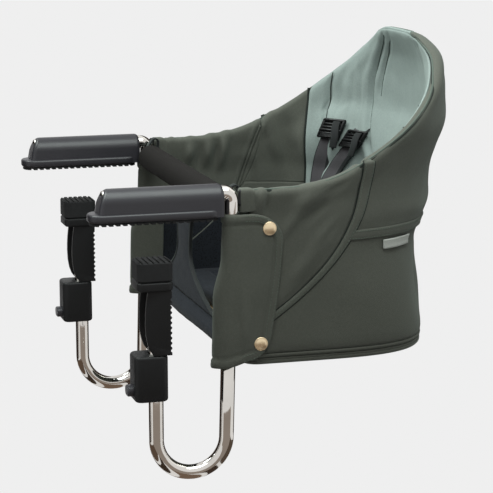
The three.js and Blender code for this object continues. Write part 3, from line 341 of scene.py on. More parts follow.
def sweep_verts(points, profile, normals=None):
    """Vertices of a profile of (side, up) pairs carried along a path."""
    points = np.asarray(points, float)
    _, sides, ups = frames_along(points, normals)
    profile = np.asarray(profile, float)
    if profile.ndim == 2:
        profile = np.broadcast_to(profile, (len(points),) + profile.shape)
    return points[:, None] + sides[:, None] * profile[:, :, :1] + ups[:, None] * profile[:, :, 1:]


def sweep_piece(name, points, profile, finish, normals=None):
    return loft(name, sweep_verts(points, profile, normals), [finish])


def circle_profile(radius, sides, flatten=1.0):
    angle = full_turn(sides)
    return np.stack([radius * np.cos(angle), radius * flatten * np.sin(angle)], -1)


def resample(points, pitch):
    """Evenly spaced points along a path, and their shares of its length."""
    run = run_along(points)
    count = max(int(run[-1] / pitch), 2)
    at = np.linspace(0.0, run[-1], count + 1)
    return np.stack([np.interp(at, run, points[:, k]) for k in range(3)], -1), at / run[-1]


def stitch_verts(points, normals, pitch=3.4, length=2.3, radius=0.32, lift=0.05):
    """Short rounded thread runs along a line on a surface."""
    spots, shares = resample(points, pitch)
    run = run_along(points)
    source = run / run[-1]
    ups = np.stack([np.interp(shares, source, normals[:, k]) for k in range(3)], -1)
    tangents, sides, ups = frames_along(spots, ups)
    steps = np.array([-0.5, -0.38, 0.0, 0.38, 0.5]) * length
    widths = np.array([0.25, 0.85, 1.0, 0.85, 0.25]) * radius
    heights = np.array([-0.5, 0.2, 0.6, 0.2, -0.5]) * radius + lift
    angle = full_turn(6)
    verts, faces = [], []
    for point, tangent, side, up in zip(spots[:-1], tangents, sides, ups):
        base = len(verts)
        for step, width, height in zip(steps, widths, heights):
            centre = point + tangent * step + up * height
            for turn in angle:
                verts.append(centre + side * width * math.cos(turn) + up * width * math.sin(turn))
        faces += [tuple(base + i for i in face) for face in ring_faces(len(steps), 6)]
    return verts, faces


def stitches(name, lines):
    """One piece from several stitched lines, each a pair of points and normals."""
    verts, faces = [], []
    for points, normals in lines:
        some, made = stitch_verts(points, normals)
        faces += [tuple(len(verts) + i for i in face) for face in made]
        verts += some
    return new_object(name, verts, faces, ["sewing_thread"])


def lathe_piece(name, profile, sides, axis, centre, finishes):
    """A turned piece from (radius, station) pairs about an axis x, y or z."""
    rows = []
    for radius, station in profile:
        for k in range(sides):
            turn = 2 * math.pi * k / sides
            a, b = radius * math.cos(turn), radius * math.sin(turn)
            rows.append({"x": (station, a, b), "y": (a, station, b), "z": (a, b, station)}[axis])
    verts = np.array(rows) + np.array(centre)
    return new_object(name, verts, ring_faces(len(profile), sides), finishes)


def apply_modifiers(piece):
    depsgraph = bpy.context.evaluated_depsgraph_get()
    shaped = bpy.data.meshes.new_from_object(piece.evaluated_get(depsgraph))
    piece.modifiers.clear()
    piece.data = shaped
    return piece


def smooth_by_angle(piece, degrees=35.0):
    piece.data.polygons.foreach_set("use_smooth", np.full(len(piece.data.polygons), True))
    piece.data.set_sharp_from_angle(angle=math.radians(degrees))
    return piece


def rounded_path(corners, radius, steps):
    """A route whose inner corners are arcs of one radius."""
    corners = [np.array(c, float) for c in corners]
    points = [corners[0]]
    for before, corner, after in zip(corners, corners[1:], corners[2:]):
        u, v = unit(corner - before), unit(after - corner)
        turn = math.acos(np.clip(u.dot(v), -1, 1))
        start = corner - u * radius * math.tan(turn / 2)
        inward = unit(v - u * v.dot(u))
        for k in range(steps + 1):
            angle = turn * k / steps
            points.append(start + u * radius * math.sin(angle) + inward * radius * (1 - math.cos(angle)))
    points.append(corners[-1])
    return np.array(points)


def finish_piece(piece, slot, *nodes, body="frame"):
    """Every piece rides on its body and stands for its CAD nodes. The slot is not used."""
    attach(piece, body)
    if nodes:
        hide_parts(*nodes)
    return piece


# ---------------------------------------------------------------- finishes

def srgb(red, green, blue):
    """An sRGB colour of 0 to 255 as a linear colour."""
    def linear(value):
        value = value / 255
        return value / 12.92 if value <= 0.04045 else ((value + 0.055) / 1.055) ** 2.4
    return (linear(red), linear(green), linear(blue), 1.0)


class Wiring:
    """Adds nodes to a tree and joins their sockets."""

    def __init__(self, tree):
        self.tree = tree

    def node(self, kind, **settings):
        node = self.tree.nodes.new(kind)
        for key, value in settings.items():
            setattr(node, key, value)
        return node

    def feed(self, value, socket):
        if isinstance(value, bpy.types.NodeSocket):
            self.tree.links.new(value, socket)
        else:
            socket.default_value = value

    def maths(self, operation, *values):
        node = self.node("ShaderNodeMath", operation=operation)
        for value, socket in zip(values, node.inputs):
            self.feed(value, socket)
        return node.outputs[0]

    def mix(self, share, a, b):
        node = self.node("ShaderNodeMix", data_type="RGBA")
        for value, socket in ((share, node.inputs[0]), (a, node.inputs[6]), (b, node.inputs[7])):
            self.feed(value, socket)
        return node.outputs[2]

    def noise(self, scale, detail=2.0, vector=None, stretch=None):
        if vector is None:
            vector = self.node("ShaderNodeTexCoord").outputs["Object"]
        if stretch:
            mapping = self.node("ShaderNodeMapping")
            mapping.inputs["Scale"].default_value = stretch
            self.feed(vector, mapping.inputs["Vector"])
            vector = mapping.outputs[0]
        node = self.node("ShaderNodeTexNoise")
        self.feed(vector, node.inputs["Vector"])
        self.feed(scale, node.inputs["Scale"])
        node.inputs["Detail"].default_value = detail
        return node.outputs["Fac"]

    def remap(self, value, low, high, to_low=0.0, to_high=1.0):
        node = self.node("ShaderNodeMapRange")
        for given, socket in zip((value, low, high, to_low, to_high), node.inputs):
            self.feed(given, socket)
        return node.outputs[0]

    def bump(self, height, distance, strength=1.0):
        node = self.node("ShaderNodeBump")
        self.feed(height, node.inputs["Height"])
        node.inputs["Distance"].default_value = distance
        node.inputs["Strength"].default_value = strength
        return node.outputs[0]


def effect_group(name, inputs, outputs):
    """An empty effect group with its named sockets; returns its wiring, inputs and outputs."""
    tree = bpy.data.node_groups.new(name, "ShaderNodeTree")
    for label, kind, default in inputs:
        socket = tree.interface.new_socket(label, in_out="INPUT", socket_type=kind)
        socket.default_value = default
    for label, kind in outputs:
        tree.interface.new_socket(label, in_out="OUTPUT", socket_type=kind)
    wiring = Wiring(tree)
    return wiring, wiring.node("NodeGroupInput").outputs, wiring.node("NodeGroupOutput").inputs


def build_weave_group():
    """Diagonal twill ribs on whichever plane faces out; puts out a height and a painted shade mask for the grooves
    between the ribs.
    """
    w, given, out = effect_group(
        "twill_weave", [("Pitch", "NodeSocketFloat", 0.0012)],
        [("Height", "NodeSocketFloat"), ("Shade", "NodeSocketFloat")])
    place = w.node("ShaderNodeSeparateXYZ")
    w.feed(w.node("ShaderNodeTexCoord").outputs["Object"], place.inputs[0])
    facing = w.node("ShaderNodeSeparateXYZ")
    w.feed(w.node("ShaderNodeNewGeometry").outputs["Normal"], facing.inputs[0])
    turn = w.maths("DIVIDE", 2 * math.pi, given["Pitch"])
    total, weights = 0.0, 0.0
    for away, a, b in ((0, 1, 2), (1, 0, 2), (2, 0, 1)):
        rib = w.maths("SINE", w.maths("MULTIPLY", w.maths("ADD", place.outputs[a], place.outputs[b]), turn))
        cross = w.maths("SINE", w.maths(
            "MULTIPLY", w.maths("SUBTRACT", place.outputs[a], place.outputs[b]), w.maths("MULTIPLY", turn, 0.5)))
        thread = w.maths("ADD", w.maths("MULTIPLY", rib, 0.7), w.maths("MULTIPLY", cross, 0.3))
        weight = w.maths("POWER", w.maths("ABSOLUTE", facing.outputs[away]), 4.0)
        total = w.maths("ADD", w.maths("MULTIPLY", thread, weight), total)
        weights = w.maths("ADD", weight, weights)
    height = w.maths("MULTIPLY_ADD", w.maths("DIVIDE", total, weights), 0.5, 0.5)
    w.feed(height, out["Height"])
    w.feed(w.maths("MULTIPLY", height, w.noise(420.0, 1.0)), out["Shade"])
    return w.tree


def build_melange_group():
    """Two yarn colours flecked together, with slow fading over the piece."""
    w, given, out = effect_group(
        "yarn_melange",
        [("Main", "NodeSocketColor", (0.1, 0.1, 0.1, 1)), ("Fleck", "NodeSocketColor", (0.1, 0.1, 0.1, 1)),
         ("Faded", "NodeSocketColor", (0.1, 0.1, 0.1, 1)), ("Fleck share", "NodeSocketFloat", 0.5),
         ("Fade share", "NodeSocketFloat", 0.3)],
        [("Colour", "NodeSocketColor")])
    fleck = w.remap(w.noise(650.0, 2.0), 0.42, 0.68)
    fade = w.remap(w.noise(11.0, 2.0), 0.38, 0.7)
    colour = w.mix(w.maths("MULTIPLY", fleck, given["Fleck share"]), given["Main"], given["Fleck"])
    colour = w.mix(w.maths("MULTIPLY", fade, given["Fade share"]), colour, given["Faded"])
    w.feed(colour, out["Colour"])
    return w.tree


def build_handling_group():
    """Roughness that varies with touch and dust, and a mask of worn edges."""
    w, given, out = effect_group(
        "handling_wear",
        [("Roughness", "NodeSocketFloat", 0.4), ("Spread", "NodeSocketFloat", 0.1),
         ("Scale", "NodeSocketFloat", 60.0)],
        [("Roughness", "NodeSocketFloat"), ("Edge", "NodeSocketFloat")])
    smear = w.maths("SUBTRACT", w.noise(given["Scale"], 4.0), 0.5)
    w.feed(w.maths("MULTIPLY_ADD", smear, w.maths("MULTIPLY", given["Spread"], 2.0), given["Roughness"]),
           out["Roughness"])
    edge = w.remap(w.node("ShaderNodeNewGeometry").outputs["Pointiness"], 0.52, 0.6)
    w.feed(w.maths("MULTIPLY", edge, w.noise(240.0, 3.0)), out["Edge"])
    return w.tree


def build_cells_group():
    """Small round cells, for foam, moulded grain and open mesh."""
    w, given, out = effect_group(
        "fine_cells", [("Size", "NodeSocketFloat", 0.001)],
        [("Height", "NodeSocketFloat"), ("Hole", "NodeSocketFloat")])
    cells = w.node("ShaderNodeTexVoronoi")
    w.feed(w.node("ShaderNodeTexCoord").outputs["Object"], cells.inputs["Vector"])
    w.feed(w.maths("DIVIDE", 1.0, given["Size"]), cells.inputs["Scale"])
    w.feed(cells.outputs["Distance"], out["Height"])
    w.feed(w.remap(cells.outputs["Distance"], 0.42, 0.2), out["Hole"])
    return w.tree


GROUPS = {}
FINISHES = {}


def new_finish(name, **values):
    """An empty material; its constant values are set on the shader's own sockets."""
    finish = bpy.data.materials.new(name)
    finish.use_nodes = True
    shader = finish.node_tree.nodes["Principled BSDF"]
    for key, value in values.items():
        shader.inputs[key.replace("_", " ")].default_value = value
    FINISHES[name] = finish
    return Wiring(finish.node_tree), shader


def place_group(wiring, name, **values):
    node = wiring.node("ShaderNodeGroup", node_tree=GROUPS[name])
    for key, value in values.items():
        node.inputs[key.replace("_", " ")].default_value = value
    return node


def shade(colour, factor):
    return tuple(min(c * factor, 1.0) for c in colour[:3]) + (1.0,)


def cloth_finish(name, colour, pitch, rib, fleck=0.45, fade=0.25, sheen=0.15, rough=0.85):
    """Woven cloth: flecked yarn colour, painted shade between the ribs, and a soft bump."""
    w, shader = new_finish(name, Roughness=rough, Sheen_Weight=sheen, Sheen_Roughness=0.5,
                           Specular_IOR_Level=0.25)
    shader.inputs["Sheen Tint"].default_value = (0.72, 0.86, 0.8, 1)
    yarn = place_group(w, "melange", Main=tuple(colour), Fleck=shade(colour, 1.35),
                       Faded=shade(colour, 0.86), Fleck_share=fleck, Fade_share=fade)
    weave = place_group(w, "weave", Pitch=pitch)
    # Painted shade: the yarn colour falls to 0.6 of itself in the grooves between the twill ribs.
    dark = w.mix(w.remap(weave.outputs["Shade"], 0.1, 0.5, 0.3, 0.0), yarn.outputs[0], shade(colour, 0.6))
    w.feed(dark, shader.inputs["Base Color"])
    w.feed(w.bump(weave.outputs["Height"], rib, 0.6), shader.inputs["Normal"])


def moulded_finish(name, colour, rough, grain, cell=0.0006, worn=1.6, spread=0.06, gloss=0.3):
    """Moulded plastic or rubber: fine grain, handled sheen and slightly rubbed edges."""
    w, shader = new_finish(name, Specular_IOR_Level=gloss)
    wear = place_group(w, "handling", Roughness=rough, Spread=spread, Scale=55.0)
    cells = place_group(w, "cells", Size=cell)
    w.feed(w.mix(wear.outputs["Edge"], tuple(colour), shade(colour, worn)), shader.inputs["Base Color"])
    w.feed(wear.outputs["Roughness"], shader.inputs["Roughness"])
    w.feed(w.bump(cells.outputs["Height"], grain, 0.5), shader.inputs["Normal"])


def metal_finish(name, colour, rough, spread, brushed=0.0):
    """Plated or bare metal with faint smears; brushed metal gets fine drawn lines."""
    w, shader = new_finish(name, Metallic=1.0)
    wear = place_group(w, "handling", Roughness=rough, Spread=spread, Scale=35.0)
    w.feed(w.mix(w.remap(w.noise(28.0, 3.0), 0.4, 0.75), tuple(colour), shade(colour, 0.88)),
           shader.inputs["Base Color"])
    w.feed(wear.outputs["Roughness"], shader.inputs["Roughness"])
    if brushed:
        lines = w.noise(900.0, 1.0, stretch=(1.0, 0.05, 0.05))
        w.feed(w.bump(lines, brushed, 0.4), shader.inputs["Normal"])


def ply_finish(name, pale, dark):
    """Birch ply: thin layers at the edge and long grain on the face."""
    w, shader = new_finish(name, Roughness=0.55)
    grain = w.noise(30.0, 5.0, stretch=(0.4, 6.0, 30.0))
    w.feed(w.mix(w.remap(grain, 0.35, 0.7), tuple(pale), tuple(dark)), shader.inputs["Base Color"])
    w.feed(w.bump(grain, 0.0002, 0.3), shader.inputs["Normal"])


def mesh_finish(name, colour):
    """Dark spacer mesh: rows of small holes painted nearly black, as painted shade inside them."""
    w, shader = new_finish(name, Roughness=0.85, Sheen_Weight=0.05, Specular_IOR_Level=0.15)
    cells = place_group(w, "cells", Size=0.0022)
    hole = cells.outputs["Hole"]
    # Painted shade: the holes are darkened to a quarter of the mesh colour.
    w.feed(w.mix(hole, tuple(colour), shade(colour, 0.25)), shader.inputs["Base Color"])
    w.feed(w.bump(w.maths("SUBTRACT", 1.0, hole), 0.0004, 0.7), shader.inputs["Normal"])


def build_finishes(colours, sizes):
    GROUPS.update(weave=build_weave_group(), melange=build_melange_group(),
                  handling=build_handling_group(), cells=build_cells_group())
    pitch = sizes.weave_pitch
    cloth_finish("olive_twill", colours.twill, pitch, 0.00022)
    # Partly painted light: the lining's pale tone is partly its own and partly the top light on it, painted into
    # the colour.
    cloth_finish("sage_lining_and_painted_light", colours.lining, pitch * 0.8, 0.00016, fleck=0.3, fade=0.35, rough=0.78)
    # Partly painted shade: the binding's own tone is darkened for the shade along the rim.
    cloth_finish("edge_binding", colours.binding, pitch * 0.7, 0.00018, fleck=0.2, fade=0.15)
    cloth_finish("strap_webbing", colours.webbing, pitch * 1.3, 0.00035, fleck=0.35, fade=0.1, rough=0.7)
    cloth_finish("strap_edge", colours.strap_edge, pitch, 0.0003, fleck=0.2, fade=0.1, rough=0.75)
    cloth_finish("sewing_thread", colours.thread, 0.0005, 0.00008, fleck=0.1, fade=0.1, rough=0.6)
    cloth_finish("tag_tape", srgb(196, 197, 192), pitch * 0.4, 0.00008, fleck=0.1, fade=0.1, rough=0.7)
    # Painted shade: these two dark finishes colour the cords laid in seam grooves, creases and cushion channels.
    cloth_finish("seam_painted_shade", srgb(36, 41, 38), pitch * 0.5, 0.0001, fleck=0.1, fade=0.1, sheen=0.0)
    cloth_finish("channel_painted_shade", srgb(74, 86, 82), pitch * 0.5, 0.0001, fleck=0.1, fade=0.1, sheen=0.0)
    mesh_finish("navy_mesh", colours.mesh)
    metal_finish("chrome_plate", colours.chrome, 0.07, 0.05)
    metal_finish("plain_steel", srgb(196, 198, 200), 0.32, 0.08, brushed=0.00005)
    metal_finish("pale_brass", colours.brass, 0.28, 0.08)
    moulded_finish("satin_black", colours.grip, 0.36, 0.00004, gloss=0.5)
    moulded_finish("clamp_black", colours.clamp, 0.46, 0.00009, gloss=0.2)
    moulded_finish("buckle_black", srgb(15, 15, 16), 0.3, 0.00003, gloss=0.25)
    moulded_finish("sole_rubber", srgb(30, 30, 31), 0.78, 0.00012)
    moulded_finish("cell_foam", colours.foam, 0.88, 0.00045, cell=0.0016, worn=1.25, gloss=0.08)
    ply_finish("birch_ply", srgb(206, 178, 138), srgb(172, 140, 100))


CAD_FINISHES = {
    "grip_sole": "sole_rubber", "clamp_pad": "sole_rubber", "stem_cap": "clamp_black",
    "release_button": "satin_black", "pawl": "plain_steel", "pawl_pin": "plain_steel",
    "pawl_spring": "plain_steel", "swivel_spigot": "plain_steel", "retaining_pin": "plain_steel",
    "hoop_socket": "clamp_black", "cross_tube": "chrome_plate", "seat_tube": "chrome_plate",
    "back_hoop": "plain_steel", "seat_board": "birch_ply",
}


def dress_cad_nodes():
    """Gives each CAD node that stays in view its finish."""
    for name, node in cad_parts.items():
        for stem, finish in CAD_FINISHES.items():
            if name == stem or name in (f"{stem}_left", f"{stem}_right"):
                node.data.materials.clear()
                node.data.materials.append(FINISHES[finish])


# ---------------------------------------------------------------- tubes, grips and clamps

def tube_piece(name, path, finish, wall=1.5, lip=0.5, reach=12.0, sides=40):
    """A bent tube with a rounded lip and an open bore at both ends."""
    tangents, across, ups = frames_along(path)
    angle = full_turn(sides)
    def ring(i, radius, shift):
        middle = path[i] + tangents[i] * shift
        return middle + radius * (np.cos(angle)[:, None] * across[i] + np.sin(angle)[:, None] * ups[i])
    bore = TUBE_RADIUS - wall
    rings = [ring(0, bore, reach), ring(0, bore, lip), ring(0, bore + lip, 0.0),
             ring(0, TUBE_RADIUS - lip, 0.0), ring(0, TUBE_RADIUS, lip)]
    rings += [ring(i, TUBE_RADIUS, 0.0) for i in range(1, len(path) - 1)]
    rings += [ring(-1, TUBE_RADIUS, -lip), ring(-1, TUBE_RADIUS - lip, 0.0), ring(-1, bore + lip, 0.0),
              ring(-1, bore, -lip), ring(-1, bore, -reach)]
    return loft(name, rings, [finish])


def block(name, low, high):
    """A plain cutter between two corners."""
    corners = [(x, y, z) for x in (low[0], high[0]) for y in (low[1], high[1]) for z in (low[2], high[2])]
    faces = [(0, 1, 3, 2), (4, 6, 7, 5), (0, 4, 5, 1), (2, 3, 7, 6), (0, 2, 6, 4), (1, 5, 7, 3)]
    return new_object(name, corners, faces, [], None, False)


def cut_away(piece, cutter):
    """Cuts one solid out of a piece and removes the cutter."""
    cut = piece.modifiers.new("cut", "BOOLEAN")
    cut.operation, cut.object, cut.solver = "DIFFERENCE", cutter, "EXACT"
    apply_modifiers(piece)
    bpy.data.objects.remove(cutter, do_unlink=True)
    return piece


def side_tube_path(x):
    corners = [(x, ARM_FRONT, ARM_HEIGHT), (x, POST_TOP_Y, ARM_HEIGHT), (x, post_y(POST_BOTTOM), POST_BOTTOM)]
    return rounded_path(corners, ELBOW_BEND, 14)


def clamp_arm_path(x):
    top = POST_BOTTOM - 0.3
    corners = [(x, post_y(top), top), (x, post_y(U_BOTTOM), U_BOTTOM), (x, STEM_Y, U_BOTTOM),
               (x, STEM_Y, STEM_TOP)]
    return rounded_path(corners, U_BEND, 30)


SLOT_COUNT, SLOT_FOOT, SLOT_PITCH = 8, -190.0, 8.0
SLOT_HEIGHT, SLOT_HALF = 3.0, 4.0


def build_tubes():
    for side, sign in SIGNS.items():
        x = sign * SIDE_HALF
        tube = tube_piece(f"side_tube_{side}_chrome", side_tube_path(x), "chrome_plate")
        finish_piece(tube, "chrome", f"side_tube_{side}")
        arm = tube_piece(f"clamp_arm_{side}_chrome", clamp_arm_path(x), "chrome_plate")
        for k in range(SLOT_COUNT):
            low = SLOT_FOOT + k * SLOT_PITCH
            cut_away(arm, block("slot_cutter", (x - SLOT_HALF, STEM_Y - 12, low),
                                (x + SLOT_HALF, STEM_Y - 4, low + SLOT_HEIGHT)))
        smooth_by_angle(arm, 50)
        finish_piece(arm, "chrome", f"clamp_arm_{side}", body=f"clamp_arm_{side}")


def grip_dome(name, x, finish):
    """The rounded top of an arm grip, with a raked nose and a soft edge round both ends."""
    half, top, foot = 15.0, 37.5, 4.0
    front_low, front_high, rear = -135.0, -126.0, 1.9
    arc = np.pi * np.arange(0, 29) / 28
    outline_x = np.concatenate([[half], half * np.cos(arc), [-half]])
    outline_z = np.concatenate([[foot], top - half + half * np.sin(arc), [foot]])
    middle_z, rounding = 20.0, 5.0
    rings = []
    turns = [(1, (np.pi / 2) * k / 7) for k in range(8)] + [(0, (np.pi / 2) * k / 7) for k in range(7, -1, -1)]
    for at_front, turn in turns:
        inset, setback = rounding * (1 - math.sin(turn)), rounding * (1 - math.cos(turn))
        zs = middle_z + (outline_z - middle_z) * (1 - inset / (top - middle_z))
        zs = np.where(outline_z <= foot, foot, zs)
        rake = np.clip((zs - 12.0) / (top - 12.0), 0, 1) * (front_high - front_low)
        ys = front_low + rake + setback if at_front else np.full_like(zs, rear - setback)
        rings.append(np.stack([outline_x * (half - inset) / half + x, ys, zs], -1))
    return loft(name, rings, [finish])


def rounded_plate(name, centre_x, half, front, rear, corner, low, high, edge, finish, steps=10):
    """A flat moulding with round corners in plan and soft edges above and below."""
    plan = []
    for cx, cy, start in ((half - corner, rear - corner, 0), (-half + corner, rear - corner, 1),
                          (-half + corner, front + corner, 2), (half - corner, front + corner, 3)):
        for k in range(steps + 1):
            turn = (start + k / steps) * np.pi / 2
            plan.append((cx, cy, math.cos(turn), math.sin(turn)))
    rings = []
    for end in (0, 1):
        for k in range(5):
            turn = (np.pi / 2) * k / 4
            falling, rising = edge * (1 - math.sin(turn)), edge * (1 - math.cos(turn))
            inset, z = (falling, low + rising) if end == 0 else (rising, high - falling)
            rings.append([(centre_x + cx + (corner - inset) * c, cy + (corner - inset) * s, z)
                          for cx, cy, c, s in plan])
    return loft(name, rings, [finish])


def join_pieces(name, pieces):
    """Joins separate closed parts of one moulding into one piece."""
    joined = bmesh.new()
    for piece in pieces:
        joined.from_mesh(piece.data)
    mesh = pieces[0].data.copy()
    joined.to_mesh(mesh)
    joined.free()
    whole = place_object(name, mesh)
    for piece in pieces:
        bpy.data.objects.remove(piece, do_unlink=True)
    return whole


def rounded_copy(name, node, finish, width, angle=32.0, flat=1.0):
    """A moulded version of a machined form: its flat faces are joined and every sharp edge is rounded."""
    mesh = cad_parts[node].data.copy()
    mesh.materials.clear()
    mesh.materials.append(FINISHES[finish])
    shape = bmesh.new()
    shape.from_mesh(mesh)
    bmesh.ops.remove_doubles(shape, verts=shape.verts, dist=1e-6)
    bmesh.ops.dissolve_limit(shape, angle_limit=math.radians(flat), verts=shape.verts, edges=shape.edges)
    shape.to_mesh(mesh)
    shape.free()
    piece = place_object(name, mesh)
    bevel = piece.modifiers.new("edges", "BEVEL")
    bevel.width, bevel.segments, bevel.limit_method = width * MM, 3, "ANGLE"
    bevel.angle_limit = math.radians(angle)
    bevel.use_clamp_overlap = True
    apply_modifiers(piece)
    return smooth_by_angle(piece, angle)


def build_grips():
    for side, sign in SIGNS.items():
        x = sign * SIDE_HALF
        dome = grip_dome("dome", x, "satin_black")
        flange = rounded_plate("flange", x, half=17.5, front=-143.0, rear=-1.0, corner=15.0, low=3.0, high=12.0,
                               edge=2.6, finish="satin_black")
        bore = lathe_piece("bore", [(GRIP_BORE, -128.5), (GRIP_BORE, 6.0)], 40, "y", (x, 0, ARM_HEIGHT), [])
        cut_away(dome, bore)
        grip = smooth_by_angle(join_pieces(f"arm_grip_{side}_moulding", [dome, flange]), 40)
        finish_piece(grip, "black_plastic", f"arm_grip_{side}")


def build_clamps():
    for side, sign in SIGNS.items():
        x = sign * SIDE_HALF
        housing = rounded_plate("housing", x, half=18.0, front=-97.5, rear=-61.2, corner=8.0, low=-191.0,
                                high=-141.0, edge=3.2, finish="clamp_black")
        cut_away(housing, lathe_piece("bore", [(HOUSING_BORE, -196.0), (HOUSING_BORE, -136.0)], 40, "z",
                                      (x, STEM_Y, 0), []))
        cut_away(housing, block("cavity", (x - 11.2, -93.5, -187.0), (x + 11.2, STEM_Y, -144.0)))
        cut_away(housing, button_hole("hole", x, half=8.2, tall=6.2, front=-99.0, rear=-92.0))
        housing.name = f"clamp_housing_{side}_moulding"
        post = rounded_copy(f"clamp_post_{side}_moulding", f"clamp_post_{side}", "clamp_black", width=0.5)
        for piece, node in ((smooth_by_angle(housing, 40), "clamp_housing"), (post, "clamp_post")):
            finish_piece(piece, "matte_black", f"{node}_{side}", body=f"clamp_unit_{side}")


def button_hole(name, x, half, tall, front, rear):
    """A cutter with round corners, running back along y at the release button's height."""
    corner, height = tall - 1.0, -180.0
    rings = []
    for y in (front, rear):
        rings.append([(x + sx * (half - corner) + corner * math.cos(a), y, height + sz * (tall - corner)
                       + corner * math.sin(a))
                      for sx, sz, start in ((1, 1, 0), (-1, 1, 1), (-1, -1, 2), (1, -1, 3))
                      for a in ((start + k / 6) * math.pi / 2 for k in range(7))])
    return loft(name, rings, [])


KEEPER_HALF = 184.8


def loop_outline():
    """The keeper's tear shape round the bar, as outward circle points, and their normals."""
    bar = np.array([post_y(CROSS_HEIGHT), CROSS_HEIGHT])
    back, up = 7.0, 18.0
    lobe = bar + (back, up)
    large, small = 8.2, 3.3
    span, heading = math.hypot(back, up), math.atan2(up, back)
    lean = math.acos((large - small) / span)
    angles = np.concatenate([np.linspace(heading + lean, heading - lean + 2 * np.pi, 40),
                             np.linspace(heading - lean, heading + lean, 14)])
    centres = np.array([bar] * 40 + [lobe] * 14)
    radii = np.array([large] * 40 + [small] * 14)
    normals = np.stack([np.cos(angles), np.sin(angles)], -1)
    return centres + normals * radii[:, None], normals


def build_keepers():
    points, normals = loop_outline()
    section = [(-4.5, 0.3), (-4.2, 0.0), (4.2, 0.0), (4.5, 0.3), (4.5, 1.4), (3.9, 1.8), (-3.9, 1.8), (-4.5, 1.4)]
    for side, sign in SIGNS.items():
        x = sign * KEEPER_HALF
        verts = [(x + a, *(point + normal * out)) for point, normal in zip(points, normals) for a, out in section]
        count, loop = len(points), len(section)
        faces = ring_faces(count, loop, False)
        base = (count - 1) * loop
        faces += [(base + k, base + (k + 1) % loop, (k + 1) % loop, k) for k in range(loop)]
        keeper = new_object(f"keeper_loop_{side}_webbing", verts, faces, ["strap_edge"])
        finish_piece(smooth_by_angle(keeper, 45), "webbing", f"keeper_loop_{side}")


def sleeve_piece(name, radius, half, y, z, rounding, finish, seed, crumple, sag=0.0):
    """A long soft sleeve on a bar, slightly uneven, drawn in at both ends."""
    stations = [(-half, radius * 0.62)]
    for k in range(7):
        turn = (np.pi / 2) * k / 6
        stations.append((-half + rounding * (1 - math.cos(turn)), radius - rounding * (1 - math.sin(turn))))
    middle = np.linspace(-half + rounding + 3, half - rounding - 3, 90)
    stations += [(x, radius) for x in middle]
    stations += [(-x, r) for x, r in stations[:8][::-1]]
    angle = full_turn(44)
    rings = []
    for x, r in stations:
        fade = smooth((half - abs(x)) / 12)
        uneven = crumple * fade * ripple(x + 0 * angle, radius * np.abs(np.sin(angle / 2)) * 4, seed, 46.0)
        hang = sag * np.clip(-np.sin(angle) - 0.6 * np.cos(angle), 0, None) * (1 - (x / half) ** 2)
        reach = r + uneven + hang
        rings.append(np.stack([x + 0 * angle, y + reach * np.cos(angle), z + reach * np.sin(angle)], -1))
    return smooth_by_angle(loft(name, rings, [finish]), 60)


def build_bars():
    foam = sleeve_piece("crossbar_foam", radius=15.3, half=180.0, y=post_y(CROSS_HEIGHT), z=CROSS_HEIGHT,
                        rounding=3.4, finish="cell_foam", seed=11, crumple=0.22)
    finish_piece(foam, "foam", "crossbar_sleeve")
    roll = sleeve_piece("front_roll_cloth", radius=ROLL_RADIUS, half=187.0, y=post_y(LOWER_CROSS_HEIGHT),
                        z=LOWER_CROSS_HEIGHT, rounding=1.4, finish="navy_mesh", seed=12, crumple=0.5, sag=3.2)
    finish_piece(roll, "dark_mesh", "front_roll")


# ---------------------------------------------------------------- the cloth cover

def rim_stretch(share):
    """How much taller the rim roll's section is where the rim climbs."""
    step = 0.004
    slope = (rim_z(share + step) - rim_z(share - step)) / (2 * step * COVER_RUN)
    return np.hypot(1.0, slope)


QUARTER = RIM_RADIUS * math.pi / 2
FLARE, FLARE_REACH = 2.5, 26.0


def flare(below):
    """How far the cover's walls swell out, at a distance below the middle of the rim roll."""
    return FLARE * smooth(1 - below / FLARE_REACH)


def skin(share, way, lift=0.0):
    """A point on the cover near its rim. The way is measured over the rim from its crest, outside negative
    and inside positive; the lift stands off the cloth."""
    share, way, lift = np.broadcast_arrays(*[np.asarray(v, float) for v in (share, way, lift)])
    turn = np.clip(way, -QUARTER, QUARTER) / RIM_RADIUS + np.pi / 2
    beyond = np.clip(np.abs(way) - QUARTER, 0.0, None)
    swollen = flare(beyond)
    reach = RIM_RADIUS + lift
    z = roll_centre_z(share) + reach * rim_stretch(share) * np.sin(turn) - beyond
    on_wall = np.where(way < 0, -swollen - lift, PANEL_WALL + swollen + lift)
    depth = np.where(beyond > 0, on_wall, 3.5 - reach * np.cos(turn))
    return cover(share, z, depth)


def skin_normal(share, way):
    lifted = skin(share, way, 0.5) - skin(share, way)
    return lifted / (np.linalg.norm(lifted, axis=-1, keepdims=True) + 1e-9)


def panel_rings(share_at, columns, low, rows, outer_lift, inner_lift):
    """Sections of a cover panel that folds over the rim: up the outside, over the roll, down the inside."""
    u = np.linspace(0, 1, columns + 1)[:, None]
    top = share_at(u, np.full_like(u, 999.0))
    centre = roll_centre_z(top)
    z = lerp(low, centre, np.linspace(0, 1, rows + 1)[None])
    share = share_at(u, z)
    swollen = flare(centre - z)
    lift_out, lift_in = outer_lift(share, z), inner_lift(share, z)
    outer = cover(share, z, -swollen - lift_out)
    inner = cover(share, z, PANEL_WALL + swollen + lift_in)
    turn = np.pi * np.arange(1, 9)[None] / 9
    reach = RIM_RADIUS + lerp(lift_out[:, -1:], lift_in[:, -1:], turn / np.pi)
    crest_z = centre + reach * rim_stretch(top) * np.sin(turn)
    crest = cover(top + 0 * turn, crest_z, 3.5 - reach * np.cos(turn))
    return np.concatenate([outer, crest, inner[:, ::-1]], axis=1)


# Where the piped line crosses the rim, as a share of the plan, and the depth of the left wing's inner folds
# beside the right wing's.
LINE_CROSSING = 0.08
LEFT_WING_FOLDS = 0.25


